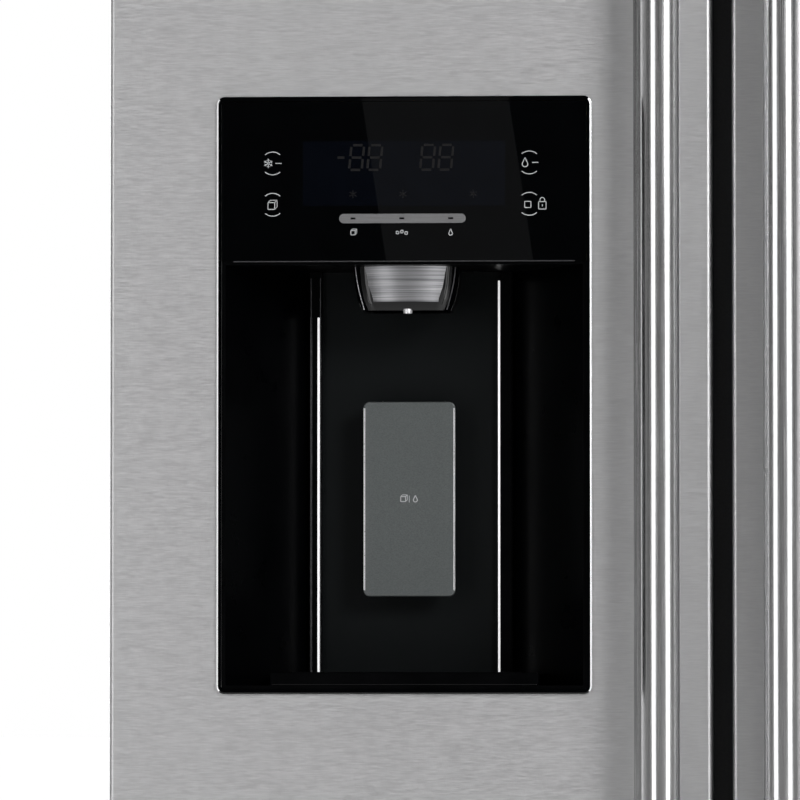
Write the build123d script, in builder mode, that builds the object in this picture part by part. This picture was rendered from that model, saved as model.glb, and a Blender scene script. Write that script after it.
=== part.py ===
from build123d import *

import math
import os

# A side by side refrigerator: freezer on the left, fresh food on the right, with an ice and
# water dispenser in the freezer door. Millimetres. +X is to the right, +Y to the back, +Z up.
# The origin is on the floor, at the middle of the whole object's width and depth.

os.makedirs("parts", exist_ok=True)

# Overall sizes
overall_width = 895.0
overall_height = 1780.0  # floor to the top of the doors
cabinet_depth = 600.0
door_thickness = 62.0
door_to_cabinet = 10.0  # the space that the gasket fills
handle_projection = 48.0
floor_gap = 25.5  # under the base pan
cabinet_below_door_top = 22.0

# Sheets and walls
sheet = 1.0  # steel of the wrap, the door skins and the front frame
liner = 2.0  # vacuum formed plastic inside
base_sheet = 2.0
freezer_wall = 60.0  # insulation with its skins
fridge_wall = 48.0
mullion_wall = 56.0
back_wall = 70.0
ceiling_wall = 52.0
floor_wall = 80.0
machine_wall = 50.0  # between the machine room and the compartments

# Machine room, low at the back
machine_room_depth = 190.0
machine_room_height = 224.5

# Doors
freezer_door_width = 390.0
door_gap = 13.0
door_edge_radius = 3.0
under_door_gap = 1.5  # above the lower hinge plate
bottom_cap_height = 18.0
top_cap_height = 40.0
gasket_width = 14.0
gasket_hinge_inset = 26.0
gasket_inner_inset = 4.0
gasket_top_inset = 30.0
gasket_bottom_inset = 33.0
ridge_width = 24.0
ridge_depth = 45.0
ridge_hinge_gap = 12.0  # from the compartment's wall, on the hinge side
ridge_inner_gap = 18.0  # the same on the side that swings
ridge_end_gap = 20.0
bin_depth = 92.0
bin_height = 95.0
bin_wall = 2.5
shelf_lip_thickness = 3.0
first_bin_floor = 150.0
fridge_bin_pitch = 250.0
freezer_lower_bin_pitch = 245.0
freezer_upper_bin_pitch = 190.0
bin_above_bulge = 30.0

# Hinges
pin_from_side = 20.0
pin_from_back = 30.0
pin_radius = 5.0
pin_running_gap = 0.08
lower_pin_height = 15.5
upper_pin_depth = 16.0
lower_plate = 7.0
lower_plate_width = 73.0
lower_plate_inset = 5.0
lower_plate_reach = 90.0  # under the cabinet
lower_flange = 2.5
lower_flange_height = 30.0
upper_plate = 4.0
upper_arm_width = 24.0
upper_plate_width = 92.0
upper_plate_depth = 85.0
notch_gap = 2.0
notch_width = 44.0
notch_front_lip = 7.0
cover_wall = 2.0
cover_height = 17.0
cover_gap = 4.0  # round the hinge plate

# Bolts of the hinges
bolt_head_radius = 5.0
bolt_head_height = 3.0
bolt_shank_radius = 3.0

# Feet and rollers
foot_from_side = 39.0
foot_from_pin = 18.0
foot_disc_radius = 22.5
foot_disc_height = 10.0
foot_pad_radius = 16.5
foot_pad_height = 5.0
foot_stem_radius = 5.0
foot_running_gap = 0.06
roller_radius = 18.0
roller_width = 20.0
roller_side_gap = 1.0
roller_from_side = 45.0
roller_from_back = 60.0
roller_axle_radius = 4.0
roller_running_gap = 0.06
roller_cheek = 2.0
roller_slot_gap = 3.0
roller_cheek_inset = 4.0

# Handles: a hooked section, measured from the door's inner edge and from the door's front
handle_from_door_bottom = 373.0
handle_from_door_top = 220.0
handle_from_edge = 20.0
handle_nose_width = 25.0
handle_nose_radius = 12.0
handle_metal = 2.5
handle_groove = 3.0
handle_lip_height = 8.0
handle_lip = 1.5
handle_flange = 3.0
handle_flange_reach = 18.0
handle_hook_depth = 4.5
handle_end = 6.0

# Dispenser in the freezer door
dispenser_from_edge = 70.0
dispenser_width = 242.4
dispenser_height = 386.5
dispenser_bottom = 891.0
dispenser_radius = 5.0
bezel_width = 3.0
bezel_proud = 2.5
control_height = 103.5
glass_proud = 2.0
glass_gap = 0.3
board_cavity = 15.0
board_thickness = 1.6
board_width = 200.0
board_behind_sheet = 6.0
board_from_glass_edge = 12.0
recess_depth = 88.0
recess_wall = 2.5
recess_back_width = 134.0
bulge_depth = 63.0
bulge_margin = 14.0  # of the door's inner bulge below the recess
bulge_over_mouth = 18.0
back_plate_thickness = 2.0
back_plate_width = 116.8
rib_width = 8.0
rib_depth = 8.0
duct_inside_width = 48.0
duct_wall = 2.0
duct_front = 24.0  # behind the door's front
duct_length = 40.0
duct_rise = 61.0
duct_mouth_height = 70.0
spout_top_width = 69.6
spout_bottom_width = 55.4
spout_height = 28.3
spout_front = 14.0
spout_top_depth = 58.0
spout_bottom_depth = 46.0
spout_wall = 2.5
spout_top_corner = 12.0
spout_bottom_corner = 10.0
flap_thickness = 2.0
flap_gap = 0.5
flap_over_glass = 1.0  # above the control glass's lower edge
flap_pivot_inset = 2.5
flap_pin_radius = 1.5
flap_pin_seat = 1.5  # in each side wall of the duct
flap_pin_gap = 0.05
paddle_width = 60.0
paddle_height = 127.5
paddle_thickness = 4.0
paddle_bottom = 954.8
paddle_radius = 4.0
paddle_front = 64.0  # behind the door's front
paddle_pin_radius = 3.0
paddle_pin_drop = 6.0
paddle_pin_behind = 8.0
paddle_pin_length = 52.0
paddle_lug_width = 4.0
paddle_lug_half_height = 5.0
paddle_ear_half_height = 7.0
paddle_ear_before_pin = 6.0
paddle_running_gap = 0.05
tray_width = 173.2
tray_height = 8.0
tray_gap = 2.0
tray_floor = 2.0
tray_rim = 6.0
tray_slot_pitch = 9.0
tray_slot_width = 4.0
tray_slots_each_side = 8

# Inside the compartments
shelf_front = 105.0  # behind the cabinet's front
shelf_thickness = 5.0
shelf_lip_height = 14.0
freezer_shelf_tops = (545.0, 780.0, 1010.0, 1237.5)  # the top one carries the ice bucket
glass_thickness = 4.0
first_glass_top = 525.0
glass_pitch = 220.0
drawer_wall = 2.5
drawer_side_gap = 5.5
crisper_hinge_gap = 18.0  # lets the crispers past the opened door
drawer_bottom_gap = 1.0
drawer_back_gap = 8.0
drawer_top_gap = 18.0
drawer_lip = 10.0
drawer_front_setback = 6.0  # behind the shelves' front edge
lower_drawer_drop = 5.0  # below the step of the floor
evaporator_cover_gap = 65.0
evaporator_cover_thickness = 3.0
evaporator_cover_drop = 306.0  # below the ceiling
evaporator_fan_drop = 260.0  # below the cover's top
air_duct_width = 160.0
air_duct_depth = 28.0
air_duct_drop = 111.0  # below the ceiling
air_duct_over_glass = 30.0
lamp_length = 120.0
lamp_width = 60.0
lamp_height = 8.0
lamp_behind_shelf_front = 20.0
bucket_width = 219.0
bucket_length = 295.0
bucket_height = 190.0
bucket_front = 95.0  # behind the cabinet's front
snout_under_mouth = 2.0
snout_width = 60.0
snout_gap = 4.0  # to the door's inner bulge
auger_radius = 24.0
auger_shaft_radius = 5.0
auger_over_floor = 3.0
auger_front_gap = 6.0
auger_blade_width = 14.0
auger_blade_thickness = 3.0
auger_first_blade = 8.0
auger_last_blade = 28.0  # before the shaft's end
auger_first_turn = 20.0
auger_blade_turn = 50.0
ice_maker_height = 120.0
ice_maker_over_bucket = 72.5
ice_maker_length = 280.0
ice_maker_setback = 25.0  # behind the bucket's front
ice_maker_past_bucket_middle = 40.0
ice_moulds = 7
first_ice_mould = 60.0
ice_mould_pitch = 28.0
ice_mould_width = 22.0
ice_mould_depth = 30.0
ice_mould_from_wall = 40.0
ice_mould_from_edge = 12.0

# Derived planes of the whole object
overall_depth = handle_projection + door_thickness + door_to_cabinet + cabinet_depth
side = overall_width / 2
door_front = -overall_depth / 2 + handle_projection
door_back = door_front + door_thickness
cabinet_front = door_back + door_to_cabinet
cabinet_back = cabinet_front + cabinet_depth
cabinet_top = overall_height - cabinet_below_door_top
door_bottom = floor_gap + under_door_gap
door_top = overall_height

# Derived planes of the compartments
freezer_door_left = -side
freezer_door_right = freezer_door_left + freezer_door_width
fridge_door_left = freezer_door_right + door_gap
fridge_door_right = side
mullion_middle = (freezer_door_right + fridge_door_left) / 2
freezer_left = -side + freezer_wall
freezer_right = mullion_middle - mullion_wall / 2
fridge_left = mullion_middle + mullion_wall / 2
fridge_right = side - fridge_wall
inside_floor = floor_gap + floor_wall
inside_ceiling = cabinet_top - ceiling_wall
inside_back = cabinet_back - back_wall
machine_front = cabinet_back - machine_room_depth
machine_top = floor_gap + machine_room_height
step_front = machine_front - machine_wall
step_top = machine_top + machine_wall
hinge_y = door_back - pin_from_back
hinge_x = side - pin_from_side

# Derived planes of the dispenser
dispenser_left = freezer_door_left + dispenser_from_edge
dispenser_middle = dispenser_left + dispenser_width / 2
control_top = dispenser_bottom + dispenser_height - bezel_width
control_bottom = control_top - control_height
duct_front_y = door_front + duct_front
duct_back_y = duct_front_y + duct_length
duct_mouth_top = control_bottom + duct_rise + duct_mouth_height
bulge_back = door_back + bulge_depth
bulge_bottom = dispenser_bottom - bulge_margin
bulge_top = duct_mouth_top + bulge_over_mouth

# Derived heights of what repeats up the compartments
glass_count = math.floor((inside_ceiling - first_glass_top) / glass_pitch)
fridge_shelf_tops = [first_glass_top + n * glass_pitch for n in range(glass_count)]
bin_ceiling = inside_ceiling - ridge_end_gap - bin_height


def bin_rows(first, pitch, limit):
    """The floors of the bins from the first one up to the limit."""
    return [first + n * pitch for n in range(math.floor((limit - first) / pitch) + 1)]


freezer_bin_floors = bin_rows(first_bin_floor, freezer_lower_bin_pitch, bulge_bottom - bin_height)
freezer_bin_floors += bin_rows(bulge_top + bin_above_bulge, freezer_upper_bin_pitch, bin_ceiling)
fridge_bin_floors = bin_rows(first_bin_floor, fridge_bin_pitch, bin_ceiling)
evaporator_cover_top = inside_ceiling - evaporator_cover_drop
evaporator_fan_z = evaporator_cover_top - evaporator_fan_drop
handle_bottom = door_bottom + handle_from_door_bottom
handle_length = door_top - handle_from_door_top - handle_bottom

SIDES = (("left", -1), ("right", 1))


def block(x_limits, y_limits, z_limits, mode=Mode.ADD):
    """Adds a block between its limits, in any order, to the part being built."""
    limits = [sorted(pair) for pair in (x_limits, y_limits, z_limits)]
    middle = tuple((low + high) / 2 for low, high in limits)
    with Locations(middle):
        Box(*(high - low for low, high in limits), mode=mode)


def rod(plane, radius, length, mode=Mode.ADD):
    """Adds a round bar that starts at a plane's origin and runs along its normal."""
    with BuildSketch(plane) as end:
        Circle(radius)
    extrude(end.sketch, amount=length, mode=mode)


def open_box(x_limits, y_limits, z_limits, wall):
    """Adds a tray that is open at the top, with one wall thickness all over."""
    block(x_limits, y_limits, z_limits)
    inner_x = (min(x_limits) + wall, max(x_limits) - wall)
    inner_y = (min(y_limits) + wall, max(y_limits) - wall)
    inner_z = (min(z_limits) + wall, max(z_limits))
    block(inner_x, inner_y, inner_z, mode=Mode.SUBTRACT)


def save(piece, name):
    """Labels a finished piece and writes it as its own STEP file."""
    piece.part.label = name
    export_step(piece.part, f"parts/{name}.step")


# ---------------------------------------------------------------- cabinet


def compartment_space(left, right, grow, mode=Mode.ADD):
    """The space of a compartment, which steps over the machine room at the back."""
    low = inside_floor - grow
    high = inside_ceiling + grow
    with BuildSketch(Plane.YZ.offset(left - grow)) as section:
        with BuildLine():
            Polyline(
                (cabinet_front, low),
                (step_front + grow, low),
                (step_front + grow, step_top - grow),
                (inside_back + grow, step_top - grow),
                (inside_back + grow, high),
                (cabinet_front, high),
                close=True,
            )
        make_face()
    extrude(section.sketch, amount=right - left + 2 * grow, mode=mode)


# Painted steel wrap: two sides and the top, with their edges folded in at the front.
with BuildPart() as cabinet_wrap:
    block((-side, side), (cabinet_front, cabinet_back), (floor_gap, cabinet_top))
    block(
        (-side + sheet, side - sheet),
        (cabinet_front + sheet, cabinet_back),
        (floor_gap, cabinet_top - sheet),
        mode=Mode.SUBTRACT,
    )
    block(
        (freezer_left - liner, fridge_right + liner),
        (cabinet_front, cabinet_front + sheet),
        (floor_gap, inside_ceiling + liner),
        mode=Mode.SUBTRACT,
    )
save(cabinet_wrap, "cabinet_wrap")

# Front frame: the lower rail and the mullion face, which the gaskets' magnets hold to.
with BuildPart() as front_frame:
    block(
        (freezer_left - liner, fridge_right + liner),
        (cabinet_front, cabinet_front + sheet),
        (floor_gap, inside_floor - liner),
    )
    block(
        (freezer_right + liner, fridge_left - liner),
        (cabinet_front, cabinet_front + sheet),
        (inside_floor - liner, inside_ceiling + liner),
    )
save(front_frame, "front_frame")

# Back panel, above the machine room.
with BuildPart() as back_panel:
    block(
        (-side + sheet, side - sheet),
        (cabinet_back - sheet, cabinet_back),
        (machine_top, cabinet_top - sheet),
    )
save(back_panel, "back_panel")

roller_y = cabinet_back - roller_from_back
roller_x = side - roller_from_side
cheek_gap = roller_width / 2 + roller_side_gap

# Base pan, with the cheeks and the axles of the two rear rollers.
with BuildPart() as base_pan:
    block(
        (-side + sheet, side - sheet),
        (cabinet_front + sheet, cabinet_back),
        (floor_gap, floor_gap + base_sheet),
    )
    for name, sign in SIDES:
        wheel_x = sign * roller_x
        block(
            (wheel_x - cheek_gap, wheel_x + cheek_gap),
            (roller_y - roller_radius - roller_slot_gap, roller_y + roller_radius + roller_slot_gap),
            (floor_gap, floor_gap + base_sheet),
            mode=Mode.SUBTRACT,
        )
        for face in (-cheek_gap - roller_cheek, cheek_gap):
            block(
                (wheel_x + face, wheel_x + face + roller_cheek),
                (
                    roller_y - roller_radius + roller_cheek_inset,
                    roller_y + roller_radius - roller_cheek_inset,
                ),
                (roller_radius - 2 * roller_axle_radius, floor_gap),
            )
        axle_start = Plane((wheel_x - cheek_gap, roller_y, roller_radius), z_dir=(1, 0, 0))
        rod(axle_start, roller_axle_radius, 2 * cheek_gap)
save(base_pan, "base_pan")

# Insulation, foamed in place between the wrap and the liners.
with BuildPart() as cabinet_insulation:
    block(
        (-side + sheet, side - sheet),
        (cabinet_front + sheet, cabinet_back - sheet),
        (floor_gap + base_sheet, cabinet_top - sheet),
    )
    compartment_space(freezer_left, freezer_right, liner, mode=Mode.SUBTRACT)
    compartment_space(fridge_left, fridge_right, liner, mode=Mode.SUBTRACT)
    block(
        (-side, side),
        (machine_front, cabinet_back),
        (floor_gap, machine_top),
        mode=Mode.SUBTRACT,
    )
save(cabinet_insulation, "cabinet_insulation")

# Liners, each one sheet of white plastic drawn to the compartment's shape.
for name, left, right in (
    ("freezer_liner", freezer_left, freezer_right),
    ("fridge_liner", fridge_left, fridge_right),
):
    with BuildPart() as liner_sheet:
        compartment_space(left, right, liner)
        compartment_space(left, right, 0, mode=Mode.SUBTRACT)
    save(liner_sheet, name)

# ---------------------------------------------------------------- hinges, feet and rollers

foot_x = side - foot_from_side
foot_y = hinge_y + foot_from_pin
lower_plate_bottom = floor_gap - lower_plate
lower_plate_outer = side - lower_plate_inset
lower_plate_inner = lower_plate_outer - lower_plate_width
lower_bolt_z = floor_gap + lower_flange_height / 2
lower_bolt_offsets = (32.0, 48.0)

# Lower hinges: a thick plate under the cabinet's front corner, with the pin that carries the
# door, a threaded hole for the foot and a flange bolted to the lower rail.
with BuildPart() as lower_hinges:
    for name, sign in SIDES:
        block(
            (sign * lower_plate_inner, sign * lower_plate_outer),
            (hinge_y - pin_from_side, cabinet_front + lower_plate_reach),
            (lower_plate_bottom, floor_gap),
        )
        block(
            (sign * lower_plate_inner, sign * lower_plate_outer),
            (cabinet_front - lower_flange, cabinet_front),
            (floor_gap, floor_gap + lower_flange_height),
        )
        rod(Plane((sign * hinge_x, hinge_y, floor_gap)), pin_radius, lower_pin_height)
        rod(
            Plane((sign * foot_x, foot_y, lower_plate_bottom)),
            foot_stem_radius + foot_running_gap,
            lower_plate,
            mode=Mode.SUBTRACT,
        )
        for offset_x in lower_bolt_offsets:
            bolt_x = sign * (hinge_x - offset_x)
            hole = Plane((bolt_x, cabinet_front, lower_bolt_z), z_dir=(0, -1, 0))
            rod(hole, bolt_shank_radius, lower_flange, mode=Mode.SUBTRACT)
save(lower_hinges, "lower_hinges")

upper_plate_setback = 15.0
upper_plate_front = cabinet_front + upper_plate_setback
upper_plate_back = upper_plate_front + upper_plate_depth
upper_plate_outer = side - cover_gap - 2 * cover_wall
upper_plate_inner = upper_plate_outer - upper_plate_width
upper_bolts = ((20.0, 20.0), (70.0, 20.0), (45.0, 62.0))

# Upper hinges: a flat plate on the cabinet's top, whose arm reaches into the door's notch and
# holds the upper pin.
with BuildPart() as upper_hinges:
    for name, sign in SIDES:
        with BuildSketch(Plane.XY.offset(cabinet_top)):
            with Locations((sign * hinge_x, hinge_y)):
                Circle(upper_arm_width / 2)
            with Locations((sign * hinge_x, (hinge_y + upper_plate_front) / 2)):
                Rectangle(upper_arm_width, upper_plate_front - hinge_y)
            middle_x = sign * (upper_plate_outer + upper_plate_inner) / 2
            with Locations((middle_x, (upper_plate_front + upper_plate_back) / 2)):
                Rectangle(upper_plate_width, upper_plate_depth)
            for offset_x, offset_y in upper_bolts:
                bolt_x = sign * (upper_plate_outer - offset_x)
                with Locations((bolt_x, upper_plate_front + offset_y)):
                    Circle(bolt_shank_radius, mode=Mode.SUBTRACT)
        extrude(amount=upper_plate)
        pin_end = Plane((sign * hinge_x, hinge_y, cabinet_top - upper_pin_depth))
        rod(pin_end, pin_radius, upper_pin_depth)
save(upper_hinges, "upper_hinges")

# Hinge covers: two plastic lids over the upper hinge plates.
with BuildPart() as hinge_covers:
    for name, sign in SIDES:
        outer = sign * (upper_plate_outer + cover_gap + cover_wall)
        inner = sign * (upper_plate_inner - cover_gap - cover_wall)
        front = upper_plate_front - cover_gap - cover_wall
        back = upper_plate_back + cover_gap + cover_wall
        block((inner, outer), (front, back), (cabinet_top, cabinet_top + cover_height))
        block(
            (inner + sign * cover_wall, outer - sign * cover_wall),
            (front + cover_wall, back - cover_wall),
            (cabinet_top, cabinet_top + cover_height - cover_wall),
            mode=Mode.SUBTRACT,
        )
        block(
            (sign * hinge_x - upper_arm_width / 2 - 1, sign * hinge_x + upper_arm_width / 2 + 1),
            (front, front + cover_wall),
            (cabinet_top, cabinet_top + upper_plate + 1),
            mode=Mode.SUBTRACT,
        )
save(hinge_covers, "hinge_covers")

# Hinge bolts: hexagon heads on the plates, with their shanks in the plates' holes.
with BuildPart() as hinge_bolts:
    for name, sign in SIDES:
        bolt_planes = []
        for offset_x, offset_y in upper_bolts:
            bolt_x = sign * (upper_plate_outer - offset_x)
            bolt_planes.append((Plane((bolt_x, upper_plate_front + offset_y, cabinet_top)), upper_plate))
        for offset_x in lower_bolt_offsets:
            bolt_x = sign * (hinge_x - offset_x)
            seat = Plane((bolt_x, cabinet_front, lower_bolt_z), z_dir=(0, -1, 0))
            bolt_planes.append((seat, lower_flange))
        for seat, plate in bolt_planes:
            rod(seat, bolt_shank_radius, plate)
            with BuildSketch(seat.offset(plate)):
                RegularPolygon(bolt_head_radius, 6)
            extrude(amount=bolt_head_height)
save(hinge_bolts, "hinge_bolts")

for name, sign in SIDES:
    # Levelling foot: a pad, a disc to turn by hand and a stem that screws into the hinge plate.
    with BuildPart() as foot:
        foot_base = Plane((sign * foot_x, foot_y, 0))
        rod(foot_base, foot_pad_radius, foot_pad_height)
        rod(foot_base.offset(foot_pad_height), foot_disc_radius, foot_disc_height)
        stem_start = foot_pad_height + foot_disc_height
        rod(foot_base.offset(stem_start), foot_stem_radius, floor_gap - stem_start)
    save(foot, f"foot_{name}")

    # Rear roller, which turns on the base pan's axle.
    with BuildPart() as roller:
        wheel_face = Plane(
            (sign * roller_x - roller_width / 2, roller_y, roller_radius), z_dir=(1, 0, 0)
        )
        rod(wheel_face, roller_radius, roller_width)
        bore_radius = roller_axle_radius + roller_running_gap
        rod(wheel_face, bore_radius, roller_width, mode=Mode.SUBTRACT)
    save(roller, f"roller_{name}")

# ---------------------------------------------------------------- machine room

machine_floor = floor_gap + base_sheet
compressor_from_side = 207.5
compressor_x = side - compressor_from_side
compressor_from_machine_front = 85.0
compressor_y = machine_front + compressor_from_machine_front
compressor_radius = 68.0
compressor_height = 150.0
compressor_shoulder = 25.0
mount_radius = 10.0
mount_height = 10.0
mount_inset = 5.0
mount_pitch_y = 90.0
pot_plate_thickness = 3.0
pot_plate_depth = 120.0
condenser_from_side = 62.5
condenser_length = 215.0
condenser_left = -side + condenser_from_side
condenser_right = condenser_left + condenser_length
condenser_gap = 12.0
condenser_front = machine_front + condenser_gap
condenser_depth = 90.0
condenser_bottom = 60.0
condenser_height = 150.0
tube_radius = 4.0
tube_rows = 6
tube_columns = 4
drain_pan_height = 20.0
drain_pan_wall = 2.0
end_plate = 2.0
fan_radius = 58.0
fan_clearance = 4.0
fan_hub_radius = 18.0
fan_hub_length = 20.0
fan_shaft_radius = 3.0
fan_shaft_inset = 2.0
fan_blade_root = 4.0  # inside the hub
fan_blade_tip_gap = 3.0
fan_blade_thickness = 1.6
fan_blade_pitch = 28.0
fan_running_gap = 0.05
fan_motor_radius = 20.0
fan_motor_length = 30.0
fan_blades = 5

# Compressor: a welded steel pot on a plate, on four rubber mounts.
with BuildPart() as compressor:
    pot_base = Plane((compressor_x, compressor_y, machine_floor))
    with BuildSketch(pot_base):
        with GridLocations(2 * (compressor_radius - mount_inset), mount_pitch_y, 2, 2):
            Circle(mount_radius)
    extrude(amount=mount_height)
    with BuildSketch(pot_base.offset(mount_height)):
        RectangleRounded(2 * (compressor_radius + mount_radius), pot_plate_depth, mount_radius)
    extrude(amount=pot_plate_thickness)
    rod(pot_base.offset(mount_height + pot_plate_thickness), compressor_radius, compressor_height)
    fillet(
        compressor.edges().filter_by(GeomType.CIRCLE).sort_by(Axis.Z)[-1], compressor_shoulder
    )
save(compressor, "compressor")

fan_shroud_margin = 10.0
fan_shroud_half = fan_radius + fan_shroud_margin
fan_shroud_lip = 2.0
fan_axis_y = machine_front + fan_shroud_half + fan_clearance
fan_axis_z = condenser_bottom + condenser_height / 2
fan_from_condenser = 35.0
fan_face = condenser_right + fan_from_condenser
fan_to_motor = 4.0
motor_face = fan_face + fan_hub_length + fan_to_motor
motor_post_half = 8.0
motor_post_front = 8.0
motor_post_back = 22.0

# Condenser: rows of tube between two plates, then the fan's shroud, and the fan's motor on
# its post.
with BuildPart() as condenser:
    condenser_y = (condenser_front, condenser_front + condenser_depth)
    condenser_z = (condenser_bottom, condenser_bottom + condenser_height)
    for plate_x in (condenser_left, condenser_right - end_plate):
        block((plate_x, plate_x + end_plate), condenser_y, (machine_floor, condenser_z[1]))
    for row in range(tube_rows):
        for column in range(tube_columns):
            tube_y = condenser_front + condenser_depth * (column + 0.5) / tube_columns
            tube_z = condenser_bottom + condenser_height * (row + 0.5) / tube_rows
            start = Plane((condenser_left + end_plate, tube_y, tube_z), z_dir=(1, 0, 0))
            rod(start, tube_radius, condenser_right - condenser_left - 2 * end_plate)
    block(
        (fan_face - fan_shroud_lip, fan_face + fan_hub_length),
        (fan_axis_y - fan_shroud_half, fan_axis_y + fan_shroud_half),
        (machine_floor, fan_axis_z + fan_shroud_half),
    )
    shroud_bore = Plane((fan_face - fan_shroud_lip, fan_axis_y, fan_axis_z), z_dir=(1, 0, 0))
    shroud_length = fan_hub_length + fan_shroud_lip
    rod(shroud_bore, fan_radius + fan_clearance, shroud_length, mode=Mode.SUBTRACT)
    motor_start = Plane((motor_face, fan_axis_y, fan_axis_z), z_dir=(1, 0, 0))
    rod(motor_start, fan_motor_radius, fan_motor_length)
    block(
        (motor_face + motor_post_front, motor_face + motor_post_back),
        (fan_axis_y - motor_post_half, fan_axis_y + motor_post_half),
        (machine_floor, fan_axis_z - fan_motor_radius + fan_shroud_lip),
    )
    shaft_start = Plane((fan_face + fan_shaft_inset, fan_axis_y, fan_axis_z), z_dir=(1, 0, 0))
    rod(shaft_start, fan_shaft_radius, motor_face - fan_face - fan_shaft_inset)
save(condenser, "condenser")


def fan_rotor(plane, radius, hub_radius, length, blades):
    """A fan's rotor: a hub with a bore for the motor's shaft, and pitched blades."""
    with BuildPart(plane) as rotor:
        with Locations((0, 0, length / 2)):
            Cylinder(hub_radius, length)
        blade_length = radius - hub_radius + fan_blade_root
        with Locations((0, 0, length / 2)):
            with PolarLocations(hub_radius - fan_blade_root + blade_length / 2, blades):
                Box(
                    blade_length - fan_blade_tip_gap,
                    hub_radius * 1.5,
                    fan_blade_thickness,
                    rotation=(fan_blade_pitch, 0, 0),
                )
        with Locations((0, 0, length / 2)):
            Cylinder(fan_shaft_radius + fan_running_gap, length, mode=Mode.SUBTRACT)
    return rotor


condenser_fan = fan_rotor(
    Plane((fan_face, fan_axis_y, fan_axis_z), z_dir=(1, 0, 0)),
    fan_radius,
    fan_hub_radius,
    fan_hub_length,
    fan_blades,
)
save(condenser_fan, "condenser_fan")

# Drain pan: catches the defrost water under the condenser's tubes.
with BuildPart() as drain_pan:
    open_box(
        (condenser_left + 2 * end_plate, condenser_right - 2 * end_plate),
        (condenser_front, condenser_front + condenser_depth),
        (machine_floor, machine_floor + drain_pan_height),
        drain_pan_wall,
    )
save(drain_pan, "drain_pan")

machine_cover = 2.0
machine_cover_inset = 12.0
machine_cover_back = cabinet_back - machine_cover_inset
slot_columns = 6
slot_rows = 7
slot_from_side = 87.5
slot_pitch_x = 75.0
slot_pitch_z = 22.0
slot_length = 55.0
slot_height = 8.0
slot_from_floor = 30.0
valve_from_side = 70.0
valve_from_top = 60.0
valve_x = side - valve_from_side
valve_z = machine_top - valve_from_top
valve_half = 20.0
valve_depth = 45.0
valve_from_cover = 8.0
valve_bracket_half = 10.0
valve_collar_radius = 12.0
collar_gap = 0.4  # between the cover's holes and what passes through them
inlet_radius = 3.175
inlet_length = 10.0
gland_from_valve = 80.0
gland_x = valve_x - gland_from_valve
gland_radius = 8.0
gland_flange_radius = 12.0
gland_flange = 3.0
gland_inside = 4.0
gland_bore_radius = 4.5

# Machine room cover: a back panel with rows of air slots.
with BuildPart() as machine_room_cover:
    cover_y = (machine_cover_back - machine_cover, machine_cover_back)
    block((-side + sheet, side - sheet), cover_y, (machine_floor, machine_top))
    for column in range(slot_columns):
        for row in range(slot_rows):
            slot_x = -side + slot_from_side + column * slot_pitch_x
            slot_z = machine_floor + slot_from_floor + row * slot_pitch_z
            slot_x_limits = (slot_x, slot_x + slot_length)
            block(slot_x_limits, cover_y, (slot_z, slot_z + slot_height), mode=Mode.SUBTRACT)
    valve_hole = Plane((valve_x, cover_y[0], valve_z), z_dir=(0, 1, 0))
    rod(valve_hole, valve_collar_radius + collar_gap, machine_cover, mode=Mode.SUBTRACT)
    gland_hole = Plane((gland_x, cover_y[0], valve_z), z_dir=(0, 1, 0))
    rod(gland_hole, gland_radius, machine_cover, mode=Mode.SUBTRACT)
save(machine_room_cover, "machine_room_cover")

# Water valve: a solenoid valve behind the cover, with the inlet tube that the house's water
# line is pushed onto.
with BuildPart() as water_valve:
    valve_back = machine_cover_back - machine_cover - valve_from_cover
    block(
        (valve_x - valve_half, valve_x + valve_half),
        (valve_back - valve_depth, valve_back),
        (valve_z - valve_half, valve_z + valve_half),
    )
    block(
        (valve_x - valve_bracket_half, valve_x + valve_bracket_half),
        (valve_back - valve_depth + valve_bracket_half, valve_back - valve_bracket_half),
        (valve_z + valve_half, machine_top),
    )
    collar_start = Plane((valve_x, valve_back, valve_z), z_dir=(0, 1, 0))
    rod(collar_start, valve_collar_radius, machine_cover_back - valve_back)
    inlet_start = Plane((valve_x, machine_cover_back, valve_z), z_dir=(0, 1, 0))
    rod(inlet_start, inlet_radius, inlet_length)
save(water_valve, "water_valve")

# Power inlet: the gland that the mains lead would come out of.
with BuildPart() as power_inlet:
    gland_y = machine_cover_back - machine_cover - gland_inside
    gland_start = Plane((gland_x, gland_y, valve_z), z_dir=(0, 1, 0))
    gland_length = gland_inside + machine_cover
    rod(gland_start, gland_radius, gland_length)
    rod(gland_start.offset(gland_length), gland_flange_radius, gland_flange)
    rod(gland_start, gland_bore_radius, gland_length + gland_flange, mode=Mode.SUBTRACT)
save(power_inlet, "power_inlet")

# ---------------------------------------------------------------- inside the freezer

shelf_y = cabinet_front + shelf_front
cover_front = inside_back - evaporator_cover_gap - evaporator_cover_thickness
cover_back = cover_front + evaporator_cover_thickness
cover_bottom = freezer_shelf_tops[0] - shelf_thickness
freezer_middle = (freezer_left + freezer_right) / 2
evaporator_fan_radius = 50.0
evaporator_fins = 22
evaporator_from_side = 20.0
fin_half = 0.5
evaporator_rows = 6
evaporator_tube_inset = 12.0
evaporator_tube_reach = 8.0
grille_rows = 9
grille_pitch = 10.0
grille_slot = 6.0
return_slot_inset = 40.0
return_slot_bottom = 25.0
return_slot_height = 10.0

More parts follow.
